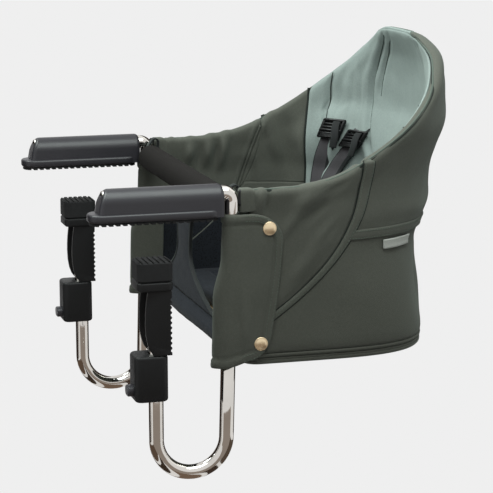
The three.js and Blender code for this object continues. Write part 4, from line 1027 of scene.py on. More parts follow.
def seam_band_width(z):
    return lerp(0.019, 0.037, smooth((z + 75) / 115))


def inner_seam_share(z):
    return 0.633 + 0.104 * np.clip((59 - z) / 90.5, 0, 2.2) ** 0.85


def side_outer_lift(share, z):
    s = np.abs(share)
    run, ahead = (1 - s) * COVER_RUN, (s - seam_share(z)) * COVER_RUN
    puff = 1.5 * smooth(ahead / 16) * smooth(run / 10) - 1.3 * bump(ahead / 4.0)
    soft = 0.7 * ripple(run, z, 21, 70.0)
    pulls = folds(run, z, ((38, -6), (86, 34), 15, 4.4), ((28, -30), (62, 14), 10, 2.8),
                  ((52, -14), (98, 22), 9, -2.2), ((24, -96), (96, -8), 13, 2.4), ((10, -2), (15, 36), 5, 2.4),
                  ((17, -6), (22, 34), 5, -3.0), ((60, -40), (104, 4), 8, 1.6), ((70, 30), (118, 52), 7, 1.8),
                  ((78, 18), (120, 40), 6, -1.4))
    return puff + soft * smooth(run / 20) + pulls


def inner_lift(share, z):
    """Relief of the cover's inside: the slanting seam, soft upright folds and small pulls at the rim."""
    s = np.abs(share)
    run, off = (1 - s) * COVER_RUN, (s - inner_seam_share(z)) * COVER_RUN
    seam = -2.6 * bump(off / 3.0) + 1.7 * bump((off - 5.2) / 4.2) + 0.9 * bump((off + 5.4) / 5.0)
    upright = folds(run, z, ((31, -12), (39, 34), 8, 5.6), ((55, -14), (63, 38), 8, 5.6),
                    ((72, -20), (86, 46), 9, 6.4), ((45, -20), (50, 30), 6, -3.0), ((66, -20), (74, 36), 6, -3.0),
                    ((152, -20), (132, 84), 11, 4.4), ((166, -40), (158, 74), 13, -4.6),
                    ((182, -30), (176, 60), 7, 3.4)) * np.where(share > 0, LEFT_WING_FOLDS, 1.0)
    sag = -4.4 * smooth((10 - z) / 28) * smooth(run / 18) * smooth((124 - run) / 12)
    crest = roll_centre_z(share)
    small = bump((z - crest + 9) / 9) * np.sin(s * COVER_RUN / 7.5) * smooth((0.42 - s) / 0.1)
    return seam + upright + sag + 0.8 * ripple(run, z, 22, 60.0) + 0.3 * small


def upper_outer_lift(share, z):
    run, behind = share * COVER_RUN, (seam_share(z) - np.abs(share)) * COVER_RUN
    puff = 1.2 * smooth(behind / 24) * smooth((z - WAIST_Z) / 22)
    soft = 0.9 * ripple(run, z, 23, 85.0)
    pulls = 1.5 * bump((z + 10) / 16) * np.sin(run / 19) * smooth(behind / 30)
    return puff + soft * smooth(behind / 30) + 0.35 * pulls


def lower_outer_lift(share, z):
    run, behind = share * COVER_RUN, (seam_share(z) - np.abs(share)) * COVER_RUN
    edge = smooth(behind / 18) * smooth((z - PANEL_BOTTOM) / 14) * smooth((WAIST_Z - z) / 14)
    corner = folds(np.abs(run), z, ((128, -60), (118, -140), 12, 2.2), ((146, -50), (140, -130), 9, -1.4))
    return edge * (0.9 + 0.7 * ripple(run, z, 24, 90.0)) + corner * edge - 0.9 * bump((z - PANEL_BOTTOM) / 5)


def build_panels(density):
    step = lambda length: max(int(length / density), 8)
    rows = step(176)
    # Painted shade: the lower inside faces of each side panel take the dark navy mesh, standing for the shade deep
    # inside the seat.
    def painted_shade_inside(_, k):
        return 1 if 1.42 * rows + 9 <= k < 2 * rows + 9 else 0
    for side, sign in SIGNS.items():
        rings = panel_rings(lambda u, z: sign * lerp(seam_share(z), 1.0, u), step(150), PANEL_BOTTOM,
                            rows, side_outer_lift, inner_lift)
        panel = section_shell(f"side_panel_{side}_cloth", rings, ["olive_twill", "navy_mesh"], painted_shade_inside)
        finish_piece(panel, "twill", f"side_panel_{side}")

    rows = step(180)
    columns = step(520)
    rings = panel_rings(lambda u, z: (2 * u - 1) * seam_share(z), columns, WAIST_Z + 0.05, rows,
                        upper_outer_lift, inner_lift)
    def lined(column, k):
        turn = 2 * (column + 0.5) / columns - 1
        low = WAIST_Z if k >= rows + 9 else 999.0
        level = lerp(float(roll_centre_z(turn * SEAM_TOP)), low, (k - rows - 8.5) / rows) if low < 0 else low
        share = turn * float(seam_share(level))
        below_line = rows + (3 if share < LINE_CROSSING else 11)
        return 1 if abs(share) < PAD_HALF - 0.004 and below_line <= k < 2 * rows + 9 else 0
    upper = section_shell("upper_back_cloth", rings, ["olive_twill", "sage_lining_and_painted_light"], lined)
    finish_piece(upper, "twill", "upper_back_panel")

    u = np.linspace(-1, 1, step(640) + 1)[:, None]
    z = np.linspace(PANEL_BOTTOM, WAIST_Z - 0.05, step(120) + 1)[None]
    share = u * (seam_share(z) - 0.0012)
    outer = cover(share, z, -lower_outer_lift(share, z))
    inner = cover(share, z, PANEL_WALL + 0 * share)
    height = z.shape[1]
    # Painted shade: below its top sixth, the lower back panel's inside takes the dark navy mesh as well.
    lower = sheet_section("lower_back_cloth", inner, outer, ["olive_twill", "navy_mesh"],
                          lambda _, k: 1 if k >= height + height // 6 else 0)
    finish_piece(lower, "twill", "lower_back_panel")


def build_front_tabs():
    """The cover's front ends, carried forward round the rim hoop's socket, with a turned seam."""
    stations = [(20.4, 0.86), (20.7, 0.95), (21.6, 1.0), (31.0, 1.0), (34.0, 0.94), (38.0, 0.80)]
    turn = np.pi * np.arange(0, 25) / 24
    squared = lambda value: np.sign(value) * np.abs(value) ** 0.55
    middle = np.array([COVER_HALF - 3.5, 17.0])
    arch = np.stack([middle[0] + 7.5 * squared(np.cos(turn)), 22.4 + 9.4 * squared(np.sin(turn))], -1)
    low = np.array([[middle[0] - 6.6, 7.0], [middle[0] + 6.6, 7.0]])
    loop = np.concatenate([arch, low])
    for side, sign in SIGNS.items():
        rings = [np.column_stack([sign * (middle[0] + (loop[:, 0] - middle[0]) * size), np.full(len(loop), y),
                                  middle[1] + (loop[:, 1] - middle[1]) * size]) for y, size in stations]
        tab = loft(f"front_tab_{side}_cloth", rings, ["olive_twill"])
        finish_piece(smooth_by_angle(tab, 60), "twill")


def strip_piece(name, middle, normals, across, widths, height, finish, crown=0.25):
    """A flat sewn strip laid along a line on the cloth, with turned-in edges."""
    share = np.array([-1, -0.93, -0.8, -0.4, 0, 0.4, 0.8, 0.93, 1, 0.9, 0, -0.9])
    lift = np.array([0.15, 0.7, 1.0, 1 + crown, 1 + crown * 1.3, 1 + crown, 1.0, 0.7, 0.15, -0.5, -0.5, -0.5])
    rings = (middle[:, None] + across[:, None] * (share[None, :, None] * widths[:, None, None] / 2)
             + normals[:, None] * (lift[None, :, None] * height))
    return loft(name, rings, [finish])


def across_line(points, normals):
    """Unit directions across a line that lies on the cloth."""
    return unit(np.cross(normals, headings(points)))


def build_bands():
    """The flat-felled bands over the slanting side seams and along the waist, with their stitching, and a dark
    cord of painted shade along both edges of each side band.
    """
    lines, shade_cords = [], []
    for side, sign in SIGNS.items():
        z = np.linspace(-116.0, 52.0, 110)
        width = seam_band_width(z)
        share = sign * (seam_share(z) - width / 2 + 0.001)
        points, normals = cover(share, z, -flare(roll_centre_z(share) - z)), cover_normal(share, z)
        top = share[-1]
        way = np.linspace(-(QUARTER + (roll_centre_z(top) - 54.0)), -4.0, 18)
        points = np.concatenate([points, skin(top + 0 * way, way)])
        normals = np.concatenate([normals, skin_normal(top + 0 * way, way)])
        widths = np.concatenate([width, np.full(18, width[-1])]) * COVER_RUN
        across = across_line(points, normals)
        band = strip_piece(f"seam_band_{side}", points, normals, across, widths, 1.7, "olive_twill")
        finish_piece(band, "twill")
        for offset in (-0.5, 0.5):
            off = (widths[:, None] * offset - math.copysign(1.9, offset)) * across
            lines.append((points + off + normals * 1.85, normals))
            # Painted shade: a dark cord along each edge of the band stands for the shade of the seam groove.
            brink = points + (widths[:, None] * offset + math.copysign(0.3, offset)) * across + normals * 0.3
            shade_cords.append(sweep_piece("groove_shadow", brink, circle_profile(0.7, 8), "seam_painted_shade", normals))

    share = np.linspace(-1, 1, 300)
    z = -26.0 - 2.6 * smooth((0.45 - np.abs(share)) / 0.3)
    share = share * (seam_share(z) - seam_band_width(z) * 0.6)
    half = 5.5 + 1.6 * smooth((0.45 - np.abs(share)) / 0.3)
    points, normals = cover(share, z, -0.5), cover_normal(share, z)
    across = across_line(points, normals)
    waist = strip_piece("waist_band", points, normals, across, half * 2, 1.1, "olive_twill")
    finish_piece(waist, "twill")
    for offset in (-1, 1):
        lines.append((points + across * (half[:, None] * offset - 1.7 * offset) + normals * 1.3, normals))
    finish_piece(join_pieces("seam_shadow_cords", shade_cords), "twill")
    finish_piece(stitches("cover_stitches", lines), "twill")


def build_inner_seams():
    """The corded seams that slant down the inside of both wings, each with a dark cord of painted shade in the
    groove on either side.
    """
    cords, shade_cords = [], []
    for sign in (-1, 1):
        z = np.linspace(-60.0, float(roll_centre_z(inner_seam_share(55.0))) - 4.5, 80)
        share = sign * inner_seam_share(z)
        swollen = flare(roll_centre_z(share) - z)
        # The two dark cords beside each corded seam are painted shade in its grooves.
        for off, sink, radius, into, finish in ((0.0, 0.6, 1.5, cords, "olive_twill"),
                                                (-0.0062, -1.4, 0.8, shade_cords, "seam_painted_shade"),
                                                (0.0062, -1.4, 0.8, shade_cords, "seam_painted_shade")):
            depth = PANEL_WALL + swollen + inner_lift(share, z) + 2.0 + sink
            into.append(sweep_piece("cord", cover(share + off, z, depth), circle_profile(radius, 10), finish))
    finish_piece(join_pieces("inner_seam_cords", cords), "twill")
    finish_piece(join_pieces("inner_seam_shadow_cords", shade_cords), "twill")


def rim_way(share):
    """Where the rim's piped line runs: just outside the crest, and inside it on the child's left behind."""
    inside = lerp(8.6, 3.4, smooth((share - 0.12) / 0.18))
    return lerp(-3.2, inside, smooth((0.46 - share) / 0.16) * smooth((share - LINE_CROSSING + 0.04) / 0.08))


def build_rim():
    """The piped line along the rim, where the outer cloth meets the lining, with a dark cord of painted shade in
    the crease beside it.
    """
    share = np.linspace(-0.985, 0.985, 460)
    way = rim_way(share)
    points, normals = skin(share, way, 0.25), skin_normal(share, way)
    cord = sweep_piece("rim_piping", points, circle_profile(1.15, 10), "edge_binding", normals)
    finish_piece(cord, "twill", "rim_roll")
    # Painted shade: a dark cord lies in the crease next to the piping.
    crease_way = way + lerp(-2.0, 1.9, smooth((way + 1) / 2))
    crease = sweep_piece("rim_crease_shadow", skin(share, crease_way, -0.1), circle_profile(0.9, 8),
                         "seam_painted_shade", skin_normal(share, crease_way))
    finish_piece(crease, "twill")
    fold_way = way - 4.6
    line = [(skin(share, fold_way, 0.15), skin_normal(share, fold_way))]
    finish_piece(stitches("rim_stitches", line), "twill")


def base_outline(inset, count=200):
    share = np.linspace(-1, 1, count)
    x, y, nx, ny = outline(share, np.full(count, -162.0))
    front, rounding = 24.0 + inset, 16.0
    points = np.stack([x - nx * inset, np.maximum(y - ny * inset, front + rounding)], -1)
    half = COVER_HALF - inset
    turn = (np.pi / 2) * np.arange(1, 9) / 8
    near = np.stack([half - rounding * (1 - np.cos(turn)), front + rounding * (1 - np.sin(turn))], -1)
    far = near[::-1] * (-1, 1)
    straight = np.linspace(near[-1], far[0], 42)[1:-1]
    return np.concatenate([points, near, straight, far])


def build_base():
    levels = [(5.0, -162.0), (3.4, -161.6), (2.2, -160.4), (1.9, -158.6), (2.6, -157.2), (1.9, -156.0),
              (2.2, -154.8), (3.4, -154.1)]
    rings = [np.column_stack([base_outline(inset), np.full(len(base_outline(inset)), z)]) for inset, z in levels]
    tray = loft("base_tray_cloth", rings, ["olive_twill"])
    finish_piece(smooth_by_angle(tray, 50), "twill", "base_tray")

    share = np.linspace(-1, 1, 320)
    points = cover(share, np.full(320, PANEL_BOTTOM), PANEL_WALL / 2 - 0.6)
    points[:, 2] = PANEL_BOTTOM - 2.7
    piping = sweep_piece("base_piping_cord", points, circle_profile(2.3, 14), "olive_twill")
    finish_piece(piping, "twill", "base_piping")


def build_tag():
    """A plain folded tag sewn into the waist seam, left bare."""
    share = np.linspace(0.46, 0.586, 22)
    z = np.linspace(-45.0, -34.6, 7)
    s, h = np.meshgrid(share, z, indexing="ij")
    outer = cover(s, h, -3.4 + 0.25 * np.sin((s - 0.46) * 60))
    inner = cover(s, h, -1.6 + 0 * s)
    tag = sheet_section("waist_tag", inner, outer, ["tag_tape"])
    finish_piece(tag, "pale_twill")


# ---------------------------------------------------------------- cushions

def swell(piece, pressure, cap, keep_side):
    """Blows a closed cloth form up with a short cloth run, caps how far each point may move, and
    keeps it off its neighbours with keep_side. Nothing of the cloth run is left on the piece."""
    start = points_of(piece)
    cloth = piece.modifiers.new("filling", "CLOTH")
    cloth.settings.quality = 5
    cloth.settings.mass = 0.2
    cloth.settings.tension_stiffness = cloth.settings.compression_stiffness = 12
    cloth.settings.bending_stiffness = 0.4
    cloth.settings.use_pressure = True
    cloth.settings.uniform_pressure_force = pressure
    cloth.settings.effector_weights.gravity = 0
    cloth.point_cache.frame_start, cloth.point_cache.frame_end = 1, 20
    for step in range(1, 21):
        bpy.context.scene.frame_set(step)
    depsgraph = bpy.context.evaluated_depsgraph_get()
    move = points_of(piece.evaluated_get(depsgraph)) - start
    piece.modifiers.clear()
    bpy.context.scene.frame_set(1)
    reach = np.linalg.norm(move, axis=1, keepdims=True)
    move *= np.minimum(1.0, cap / np.maximum(reach, 1e-6))
    return keep_side(start, start + move)


def points_of(piece):
    return np.array([v.co for v in piece.data.vertices]) / MM


def set_points(piece, points):
    piece.data.vertices.foreach_set("co", (np.asarray(points) * MM).reshape(-1))
    piece.data.update()


def subdivide_once(piece):
    smoother = piece.modifiers.new("fine", "SUBSURF")
    smoother.levels = smoother.render_levels = 1
    return apply_modifiers(piece)


def stored(mesh, name):
    values = np.zeros(len(mesh.vertices))
    mesh.attributes[name].data.foreach_get("value", values)
    return values


def store(mesh, name, values):
    mesh.attributes.new(name, "FLOAT", "POINT").data.foreach_set("value", np.asarray(values, np.float32))


SECOND_CHANNEL = 0.042


def crease_share(z):
    """The cushion's side crease, as a share of the plan at each height."""
    return 0.42 + 0.012 * np.sin((z - 50) / 22)


def channel_share(z):
    """The cushion's main sewn channel, as a share of the plan at each height."""
    away = np.where(z > 95, (z - 95) / 65, (95 - z) / 90)
    return lerp(0.25, 0.16, np.clip(away, 0, 1) ** 2)


def pad_top(share):
    """The back pad's upper edge: tucked against the rim roll, a little lower behind the piped line."""
    near = smooth((share - LINE_CROSSING + 0.04) / 0.08)
    return roll_centre_z(share) + lerp(4.4, 1.6, near) * rim_stretch(share)


def pad_base(share, z):
    """Depth of the back pad's rear face: off the wall, and bent over the rim roll where it reaches it."""
    climb = (z - roll_centre_z(share)) / (RIM_RADIUS * rim_stretch(share))
    over = 3.5 + (RIM_RADIUS + 0.5) * np.sqrt(np.clip(1 - climb ** 2, 0.05, 1.0))
    wall = PANEL_WALL + PAD_GAP + 0.6 * smooth(1 + climb / 3)
    return np.where(climb > 0, over, wall)


def pad_crown(share, z):
    """Thickness of the back pad: full in its middle, thin at its sewn edges."""
    across = np.clip(np.abs(share) / PAD_HALF, 0, 1)
    row = np.clip((z - PAD_BOTTOM) / (pad_top(share) - PAD_BOTTOM), 0, 1)
    full = np.sqrt(np.sin(np.pi * np.clip(row, 0.0, 1.0))) * (1 - across ** 8)
    edge = PAD_EDGE * (1 - 0.5 * smooth((row - 0.93) / 0.07))
    return edge + (PAD_WALL - edge) * full


def pad_channels(share, z):
    """How deep the sewn lines press into the back pad."""
    s = np.abs(share)
    first = (s - channel_share(z)) * COVER_RUN
    second = (s - channel_share(z) + SECOND_CHANNEL) * COVER_RUN
    crease = (s - crease_share(z)) * COVER_RUN
    high = smooth((z - 84) / 20)
    depth = (4.2 * bump(first / 5.2) + 2.8 * bump(second / 5.0) * high + 5.2 * bump(crease / 6.5)
             * smooth((z - 4) / 30) - 2.0 * bump((first - 10) / 9.0) - 1.8 * bump((crease + 10) / 9.0))
    for at, low, top in ((-0.335, 10, 120), (-0.296, 20, 140), (0.34, -20, 60), (0.31, 0, 70)):
        line = (share - at - 0.006 * np.sin(z / 30)) * COVER_RUN
        along = smooth((z - low) / 25) * smooth((top - z) / 25)
        depth = depth + (1.2 * bump(line / 4.0) - bump((line + 6) / 5.0)) * along
    depth = depth * (1 - 0.4 * smooth((z - pad_top(share) + 44) / 30))
    return np.minimum(depth, pad_crown(share, z) - 1.2)


def pad_surface(pad, share, z, lift):
    """Points laid on the finished cushion at shares and heights, and its normals there."""
    start, wall = cover(share, z, 60.0), cover(share, z, 0.0)
    points, normals = [], []
    for a, b in zip(start * MM, wall * MM):
        hit, place, normal, _ = pad.ray_cast(Vector(a), (Vector(b) - Vector(a)).normalized())
        if hit:
            normal = np.array(normal) * (1 if normal.dot(Vector(a) - Vector(b)) > 0 else -1)
            points.append(np.array(place) / MM + normal * lift)
            normals.append(normal)
    points = np.array(points)
    for _ in range(4):
        points[1:-1] = (points[:-2] + points[1:-1] + points[2:]) / 3
    return points, np.array(normals)


def build_pad_seams(pad):
    """The sewn lines of the back cushion: dark cords of painted shade along its outer edges and its creases, paler
    cords of painted shade in its main channels, and stitching along the channels.
    """
    cords, channels, lines = [], [], []
    for side in (-1, 1):
        # Painted shade: dark cords lie along the pad's outer edges and in its creases.
        z = np.linspace(-100.0, float(pad_top(side * PAD_HALF)) + 1.0, 70)
        edge = cover(np.full(70, side * (PAD_HALF + 0.004)), z, PANEL_WALL + 1.6)
        cords.append(sweep_piece("edge", edge, circle_profile(1.9, 8), "seam_painted_shade"))
        z = np.linspace(6.0, float(pad_top(side * 0.42)) - 3.0, 60)
        points, _ = pad_surface(pad, side * crease_share(z), z, 0.2)
        cords.append(sweep_piece("crease", points, circle_profile(0.75, 8), "seam_painted_shade"))
        z = np.linspace(-60.0, float(pad_top(side * 0.2)) - 4.0, 80)
        lines.append(pad_surface(pad, side * channel_share(z), z, 0.05))
        # Painted shade: a sage cord darker than the lining lies in each main channel.
        for shift, low, high in ((0.0, 20.0, 8.0), (SECOND_CHANNEL, 88.0, 14.0)):
            z = np.linspace(low, float(pad_top(side * 0.15)) - high, 60)
            points, _ = pad_surface(pad, side * (channel_share(z) - shift), z, 0.15)
            channels.append(sweep_piece("channel", points, circle_profile(0.5, 8), "channel_painted_shade"))
    finish_piece(join_pieces("cushion_channel_shadows", channels), "pale_twill")
    finish_piece(join_pieces("cushion_seam_shadows", cords), "twill")
    finish_piece(stitches("cushion_stitches", lines), "twill")


def build_back_pad(density):
    """The lined back cushion: blown up as a plain form, then its channels are sewn in."""
    step = max(density * 1.9, 4.6)
    columns, rows = int(2 * PAD_HALF * COVER_RUN / step), int(270 / step)
    u = np.linspace(-PAD_HALF, PAD_HALF, columns + 1)[:, None]
    v = np.linspace(0, 1, rows + 1)[None]
    share = u + 0 * v
    z = lerp(PAD_BOTTOM, pad_top(u), v)
    base = pad_base(share, z)
    border = smooth((PAD_HALF - np.abs(share)) * COVER_RUN / 16) * smooth((pad_top(share) - z) / 26)
    crown = pad_crown(share, z) * ((1 - 0.16 * border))
    back, front = cover(share, z, base), cover(share, z, base + crown)
    pad = sheet_section("back_cushion", front, back, ["sage_lining_and_painted_light"])
    def both(behind, before):
        return np.concatenate([behind, before[:, ::-1]], 1).reshape(-1)
    share_all, z_all = both(share, share), both(z, z)
    free = both(0 * share, border)
    for label, values in (("share", share_all), ("height", z_all), ("facing", both(0 * share, 0 * share + 1))):
        store(pad.data, label, values)
    outward = outward_at(share_all, z_all)
    def keep(start, moved):
        shift = (moved - start) * free[:, None]
        inward = -(shift * outward).sum(1)
        shift += outward * (inward - np.clip(inward, -1.0, 3.2))[:, None]
        return start + shift
    set_points(pad, swell(pad, 4.0, 6.0, keep))
    pad = subdivide_once(pad)
    share, z, facing = [stored(pad.data, name) for name in ("share", "height", "facing")]
    outward = outward_at(share, z)
    points = points_of(pad)
    soft = 0.7 * ripple(share * COVER_RUN, z, 31, 48.0)
    edge = smooth((PAD_HALF - np.abs(share)) / 0.03) * smooth((pad_top(share) - z) / 8)
    points += outward * ((pad_channels(share, z) - soft) * smooth(facing * 1.4) * edge)[:, None]
    set_points(pad, points)
    pad.data.polygons.foreach_set("use_smooth", np.full(len(pad.data.polygons), True))
    finish_piece(pad, "pale_twill", "back_pad")
    return pad


SEAT_BASE = -148.4


def build_seat_pad():
    """The seat cushion: flat on its board, crowned on top, with a sewn channel round its border."""
    plan = base_outline(PANEL_WALL + 17.5, 110)
    centre = np.array([0.0, (24 + LOWER_REAR) / 2])
    thick = 19.0
    section = [(0.93, 0.0), (0.985, 1.5), (1.0, thick * 0.35), (1.0, thick * 0.62), (0.985, thick * 0.86)]
    section += [(share, thick * (0.97 + 0.12 * (1 - share))) for share in np.linspace(0.95, 0.06, 22)]
    rings = [np.column_stack([centre + (plan - centre) * share, np.full(len(plan), SEAT_BASE + height)])
             for share, height in section]
    low = [np.column_stack([centre + (plan - centre) * share, np.full(len(plan), SEAT_BASE)])
           for share in np.linspace(0.06, 0.85, 12)]
    pad = loft("seat_cushion", low + rings, ["navy_mesh"])
    def keep(start, moved):
        held = moved.copy()
        held[:, 2] = np.where(start[:, 2] < SEAT_BASE + 1, start[:, 2], np.maximum(moved[:, 2], SEAT_BASE))
        held[:, :2] = start[:, :2] + np.clip(held[:, :2] - start[:, :2], -3.0, 3.0)
        return held
    set_points(pad, swell(pad, 4.0, 8.0, keep))
    pad = subdivide_once(pad)
    points = points_of(pad)
    border = KDTree(len(plan) * 4)
    dense = np.concatenate([lerp(plan, np.roll(plan, -1, 0), t) for t in (0, 0.25, 0.5, 0.75)])
    for i, point in enumerate(dense):
        border.insert((*point, 0), i)
    border.balance()
    inside = np.array([border.find((x, y, 0))[2] for x, y, _ in points])
    top = smooth((points[:, 2] - SEAT_BASE - 10) / 6)
    uneven = 0.5 * ripple(points[:, 0], points[:, 1], 32, 60.0)
    points[:, 2] -= top * (3.6 * bump((inside - 34) / 5.0) - uneven)
    points[:, 2] = np.maximum(points[:, 2], SEAT_BASE)
    set_points(pad, points)
    finish_piece(smooth_by_angle(pad, 70), "dark_mesh", "seat_pad")


# ---------------------------------------------------------------- apron, crotch panel, flaps and studs


def build_apron():
    y0, z0 = post_y(LOWER_CROSS_HEIGHT), LOWER_CROSS_HEIGHT
    turn = np.radians(np.linspace(-118, -60, 16))
    reach = ROLL_RADIUS + 1.0
    path = np.stack([y0 + reach * np.cos(turn), z0 + reach * np.sin(turn)], -1)
    foot = np.array([26.4, -155.8])
    drop = np.linspace(0, 1, 14)[1:, None]
    sag = np.array([0.0, -1.4]) * np.sin(np.pi * drop)
    path = np.concatenate([path, lerp(path[-1], foot, drop) + sag])
    heading = headings(path)
    away = np.stack([heading[:, 1], -heading[:, 0]], -1)
    x = np.linspace(-APRON_HALF, APRON_HALF, 130)[:, None]
    run = np.linspace(0, 1, len(path))[None]
    ruffle = 0.5 * ripple(x, run * 30, 41, 34.0) * np.sin(np.pi * run)
    def face(lift):
        y = path[None, :, 0] + away[None, :, 0] * (lift + ruffle)
        z = path[None, :, 1] + away[None, :, 1] * (lift + ruffle)
        return np.stack([x + 0 * y, y, z], -1)
    apron = sheet_section("front_apron_cloth", face(0.0), face(1.5), ["olive_twill"])
    finish_piece(apron, "twill", "front_apron")
    length = run_along(path)[-1] * MM


def build_crotch_panel():
    """Dark mesh between the two bars, with a bound edge down each side."""
    high, low = CROSS_HEIGHT - 15.9, LOWER_CROSS_HEIGHT + ROLL_RADIUS + 0.8
    v = np.linspace(0, 1, 44)[None]
    z = lerp(high, low, v)
    upper = lerp(CROTCH_TOP_HALF, CROTCH_WAIST_HALF, smooth(2 * v))
    lower = lerp(CROTCH_WAIST_HALF, CROTCH_FOOT_HALF, np.clip(2 * v - 1, 0, 1) ** 2.4)
    half = np.where(v < 0.5, upper, lower)
    u = np.linspace(-1, 1, 42)[:, None]
    belly = 1.6 * np.sin(np.pi * v) * (1 - u ** 2) + 0.5 * ripple(u * half, z, 42, 38.0) * (1 - u ** 8)
    def face(lift):
        y = post_y(z) - lift - belly
        return np.stack([u * half + 0 * y, y + 0 * u, z + 0 * u], -1)
    panel = sheet_section("crotch_panel_mesh", face(-1.1), face(1.1), ["navy_mesh"])
    finish_piece(panel, "dark_mesh", "crotch_panel")
    for side, sign in SIGNS.items():
        points = np.stack([sign * half[0], post_y(z[0]) - 0.1, z[0]], -1)
        edge = sweep_piece(f"crotch_binding_{side}", points, circle_profile(2.3, 14, 0.85), "strap_edge")
        finish_piece(edge, "webbing")


FLAP_FRONT_Y, FLAP_REAR_Y, FLAP_RUN = 20.2, 68.2, 48.0
FLAP_REACH, FLAP_COLUMNS = TUBE_RADIUS + 1.5, 34


def flap_top(y):
    return -27 + 31.5 * np.sqrt(np.clip(1 - (np.clip(y - 30, 0, None) / 38.2) ** 2, 0, 1))


def flap_bottom(y):
    corner = -120 - 35 * np.sqrt(np.clip(1 - (np.clip(y - 33, 0, 25.9) / 25.9) ** 2, 0, 1))
    hem = -155 - 6.6 * np.clip((33 - y) / 22, 0, 1)
    side = -30 - 90 * np.clip((FLAP_REAR_Y - y) / 9.3, 0, 1) ** (1 / 1.7)
    return np.where(y < 33, hem, np.where(y < 58.9, corner, side))


def flap_x(y):
    """Stand-off of the flap's middle from the side tube's plane."""
    return lerp(FLAP_REACH, COVER_HALF + 1.3 - SIDE_HALF, (y - FLAP_FRONT_Y) / (69.0 - FLAP_FRONT_Y))


def flap_border(first, count):
    """Upper and lower outline points of the flap's flat side, from its front to its rear."""
    rear = FLAP_REAR_Y - FLAP_RUN * (1 - np.sin(np.linspace(first, np.pi / 2, count)))
    return np.stack([rear, flap_top(rear)], -1), np.stack([rear, flap_bottom(rear)], -1)


def flap_edge_distance(y, z):
    border = np.concatenate(flap_border(0, 160))
    gap = np.hypot(y[..., None] - border[:, 0], z[..., None] - border[:, 1])
    return gap.min(-1)


def build_flaps():
    for side, sign in SIGNS.items():
        back = FLAP_REAR_Y - FLAP_RUN * (1 - np.cos(np.linspace(0, np.pi / 2, FLAP_COLUMNS)))
        turn = -np.pi * np.arange(1, 25) / 24
        plan = [(flap_x(y), y) for y in back]
        plan += [(FLAP_REACH * math.cos(a), post_y(0) + FLAP_REACH * math.sin(a)) for a in turn]
        plan += [(-FLAP_REACH, y) for y in np.linspace(post_y(0) + 2, 33.0, 8)]
        plan = np.array(plan)
        on_side = np.arange(len(plan))[:, None] < FLAP_COLUMNS
        heading = headings(plan)
        out = np.stack([-heading[:, 1], heading[:, 0]], -1)
        y = plan[:, 1][:, None]
        at_y = np.where(on_side, y, FLAP_FRONT_Y - 9.0)
        high, low = flap_top(at_y), flap_bottom(at_y)
        v = np.linspace(0, 1, 64)[None]
        z = lerp(low, high, v)
        front = np.clip((post_y(0) - y) / FLAP_REACH, 0, None)
        fold_out = 8.0 * front * smooth((-42 - z) / 44)
        edge = flap_edge_distance(np.broadcast_to(np.where(on_side, y, -20.0), z.shape), z)
        near = np.minimum(edge, np.minimum(high - z, z - low))
        strip = (1.1 * (1 - smooth((near - 7.8) / 1.6)) - 0.9 * bump((near - 9.8) / 2.4)
                 - 0.9 * (1 - smooth(near / 1.1)))
        run = run_along(plan)[:, None]
        waves = folds(run, z, ((30, -60), (42, -150), 9, 1.5), ((46, -50), (40, -160), 8, 1.8),
                      ((52, -40), (50, -150), 7, -1.2)) + 0.6 * ripple(run, z, 51, 52.0)
        def face(lift):
            x = plan[:, 0][:, None] + out[:, 0][:, None] * lift
            yy = y + out[:, 1][:, None] * lift + (post_y(z) - post_y(0)) - fold_out
            return np.stack([sign * (SIDE_HALF + x), yy, z], -1)
        outer = face(0.9 + strip + waves * smooth(near / 6))
        flap = sheet_section(f"flap_{side}_cloth", face(-0.9 + 0 * z), outer, ["olive_twill"])
        finish_piece(flap, "twill", f"flap_{side}")
        lines = [flap_line(sign, inset) for inset in (1.9, 7.2)]
        finish_piece(stitches(f"flap_stitches_{side}", lines), "twill")


def flap_line(sign, inset):
    """A stitched line that follows the flap's free edge at one distance."""
    upper, lower = flap_border(0.12, 70)
    border = np.concatenate([upper, lower[::-1]])
    border = resample(np.column_stack([border, np.zeros(len(border))]), 3.0)[0][:, :2]
    heading = headings(border)
    inward = np.stack([heading[:, 1], -heading[:, 0]], -1)
    line = border + inward * inset
    line = line[flap_edge_distance(line[:, 0], line[:, 1]) > inset * 0.93]
    x = flap_x(line[:, 0]) + 0.9 + 0.95
    y = line[:, 0] + post_y(line[:, 1]) - post_y(0)
    points = np.stack([sign * (SIDE_HALF + x), y, line[:, 1]], -1)
    normals = np.tile([sign * 1.0, 0.09, 0.0], (len(points), 1))
    return points, normals


def build_studs():
    """Press studs: a domed cap with a rolled rim, set in the flap's edge strip."""
    profile = [(0.0, -2.4), (4.8, -2.4), (5.0, -1.9), (2.1, -1.7), (2.1, 1.0), (7.0, 1.0), (7.5, 1.3), (7.5, 1.75),
               (7.25, 2.1), (6.75, 2.25), (6.4, 2.15), (5.9, 2.35), (4.4, 2.9), (2.4, 3.25), (0.0, 3.35)]
    for side, sign in SIGNS.items():
        for place, (y, z) in {"upper": (52.0, -12.0), "lower": (42.0, -137.0)}.items():
            x = flap_x(y - (post_y(z) - post_y(0))) + 0.35
            turned = [(radius, sign * station) for radius, station in profile]
            stud = lathe_piece(f"press_stud_{place}_{side}_cap", turned, 40, "x", (sign * (SIDE_HALF + x), y, z),
                               ["pale_brass"])
            finish_piece(smooth_by_angle(stud, 50), "brass", f"press_stud_{place}_{side}")


# ---------------------------------------------------------------- harness

WEB_TOP_SHARES, WEB_FOOT_SHARES = (-0.38, -0.262), (-0.435, -0.38)
WEB_TOPS, WEB_LIFTS, WEB_FOOT = (60.0, 51.0), (0.0, 3.0), -110.0
WEB_LEAN_RUN, WEB_CLEARANCE = 75.0, 1.2
STRAPS = ("outer", "inner")


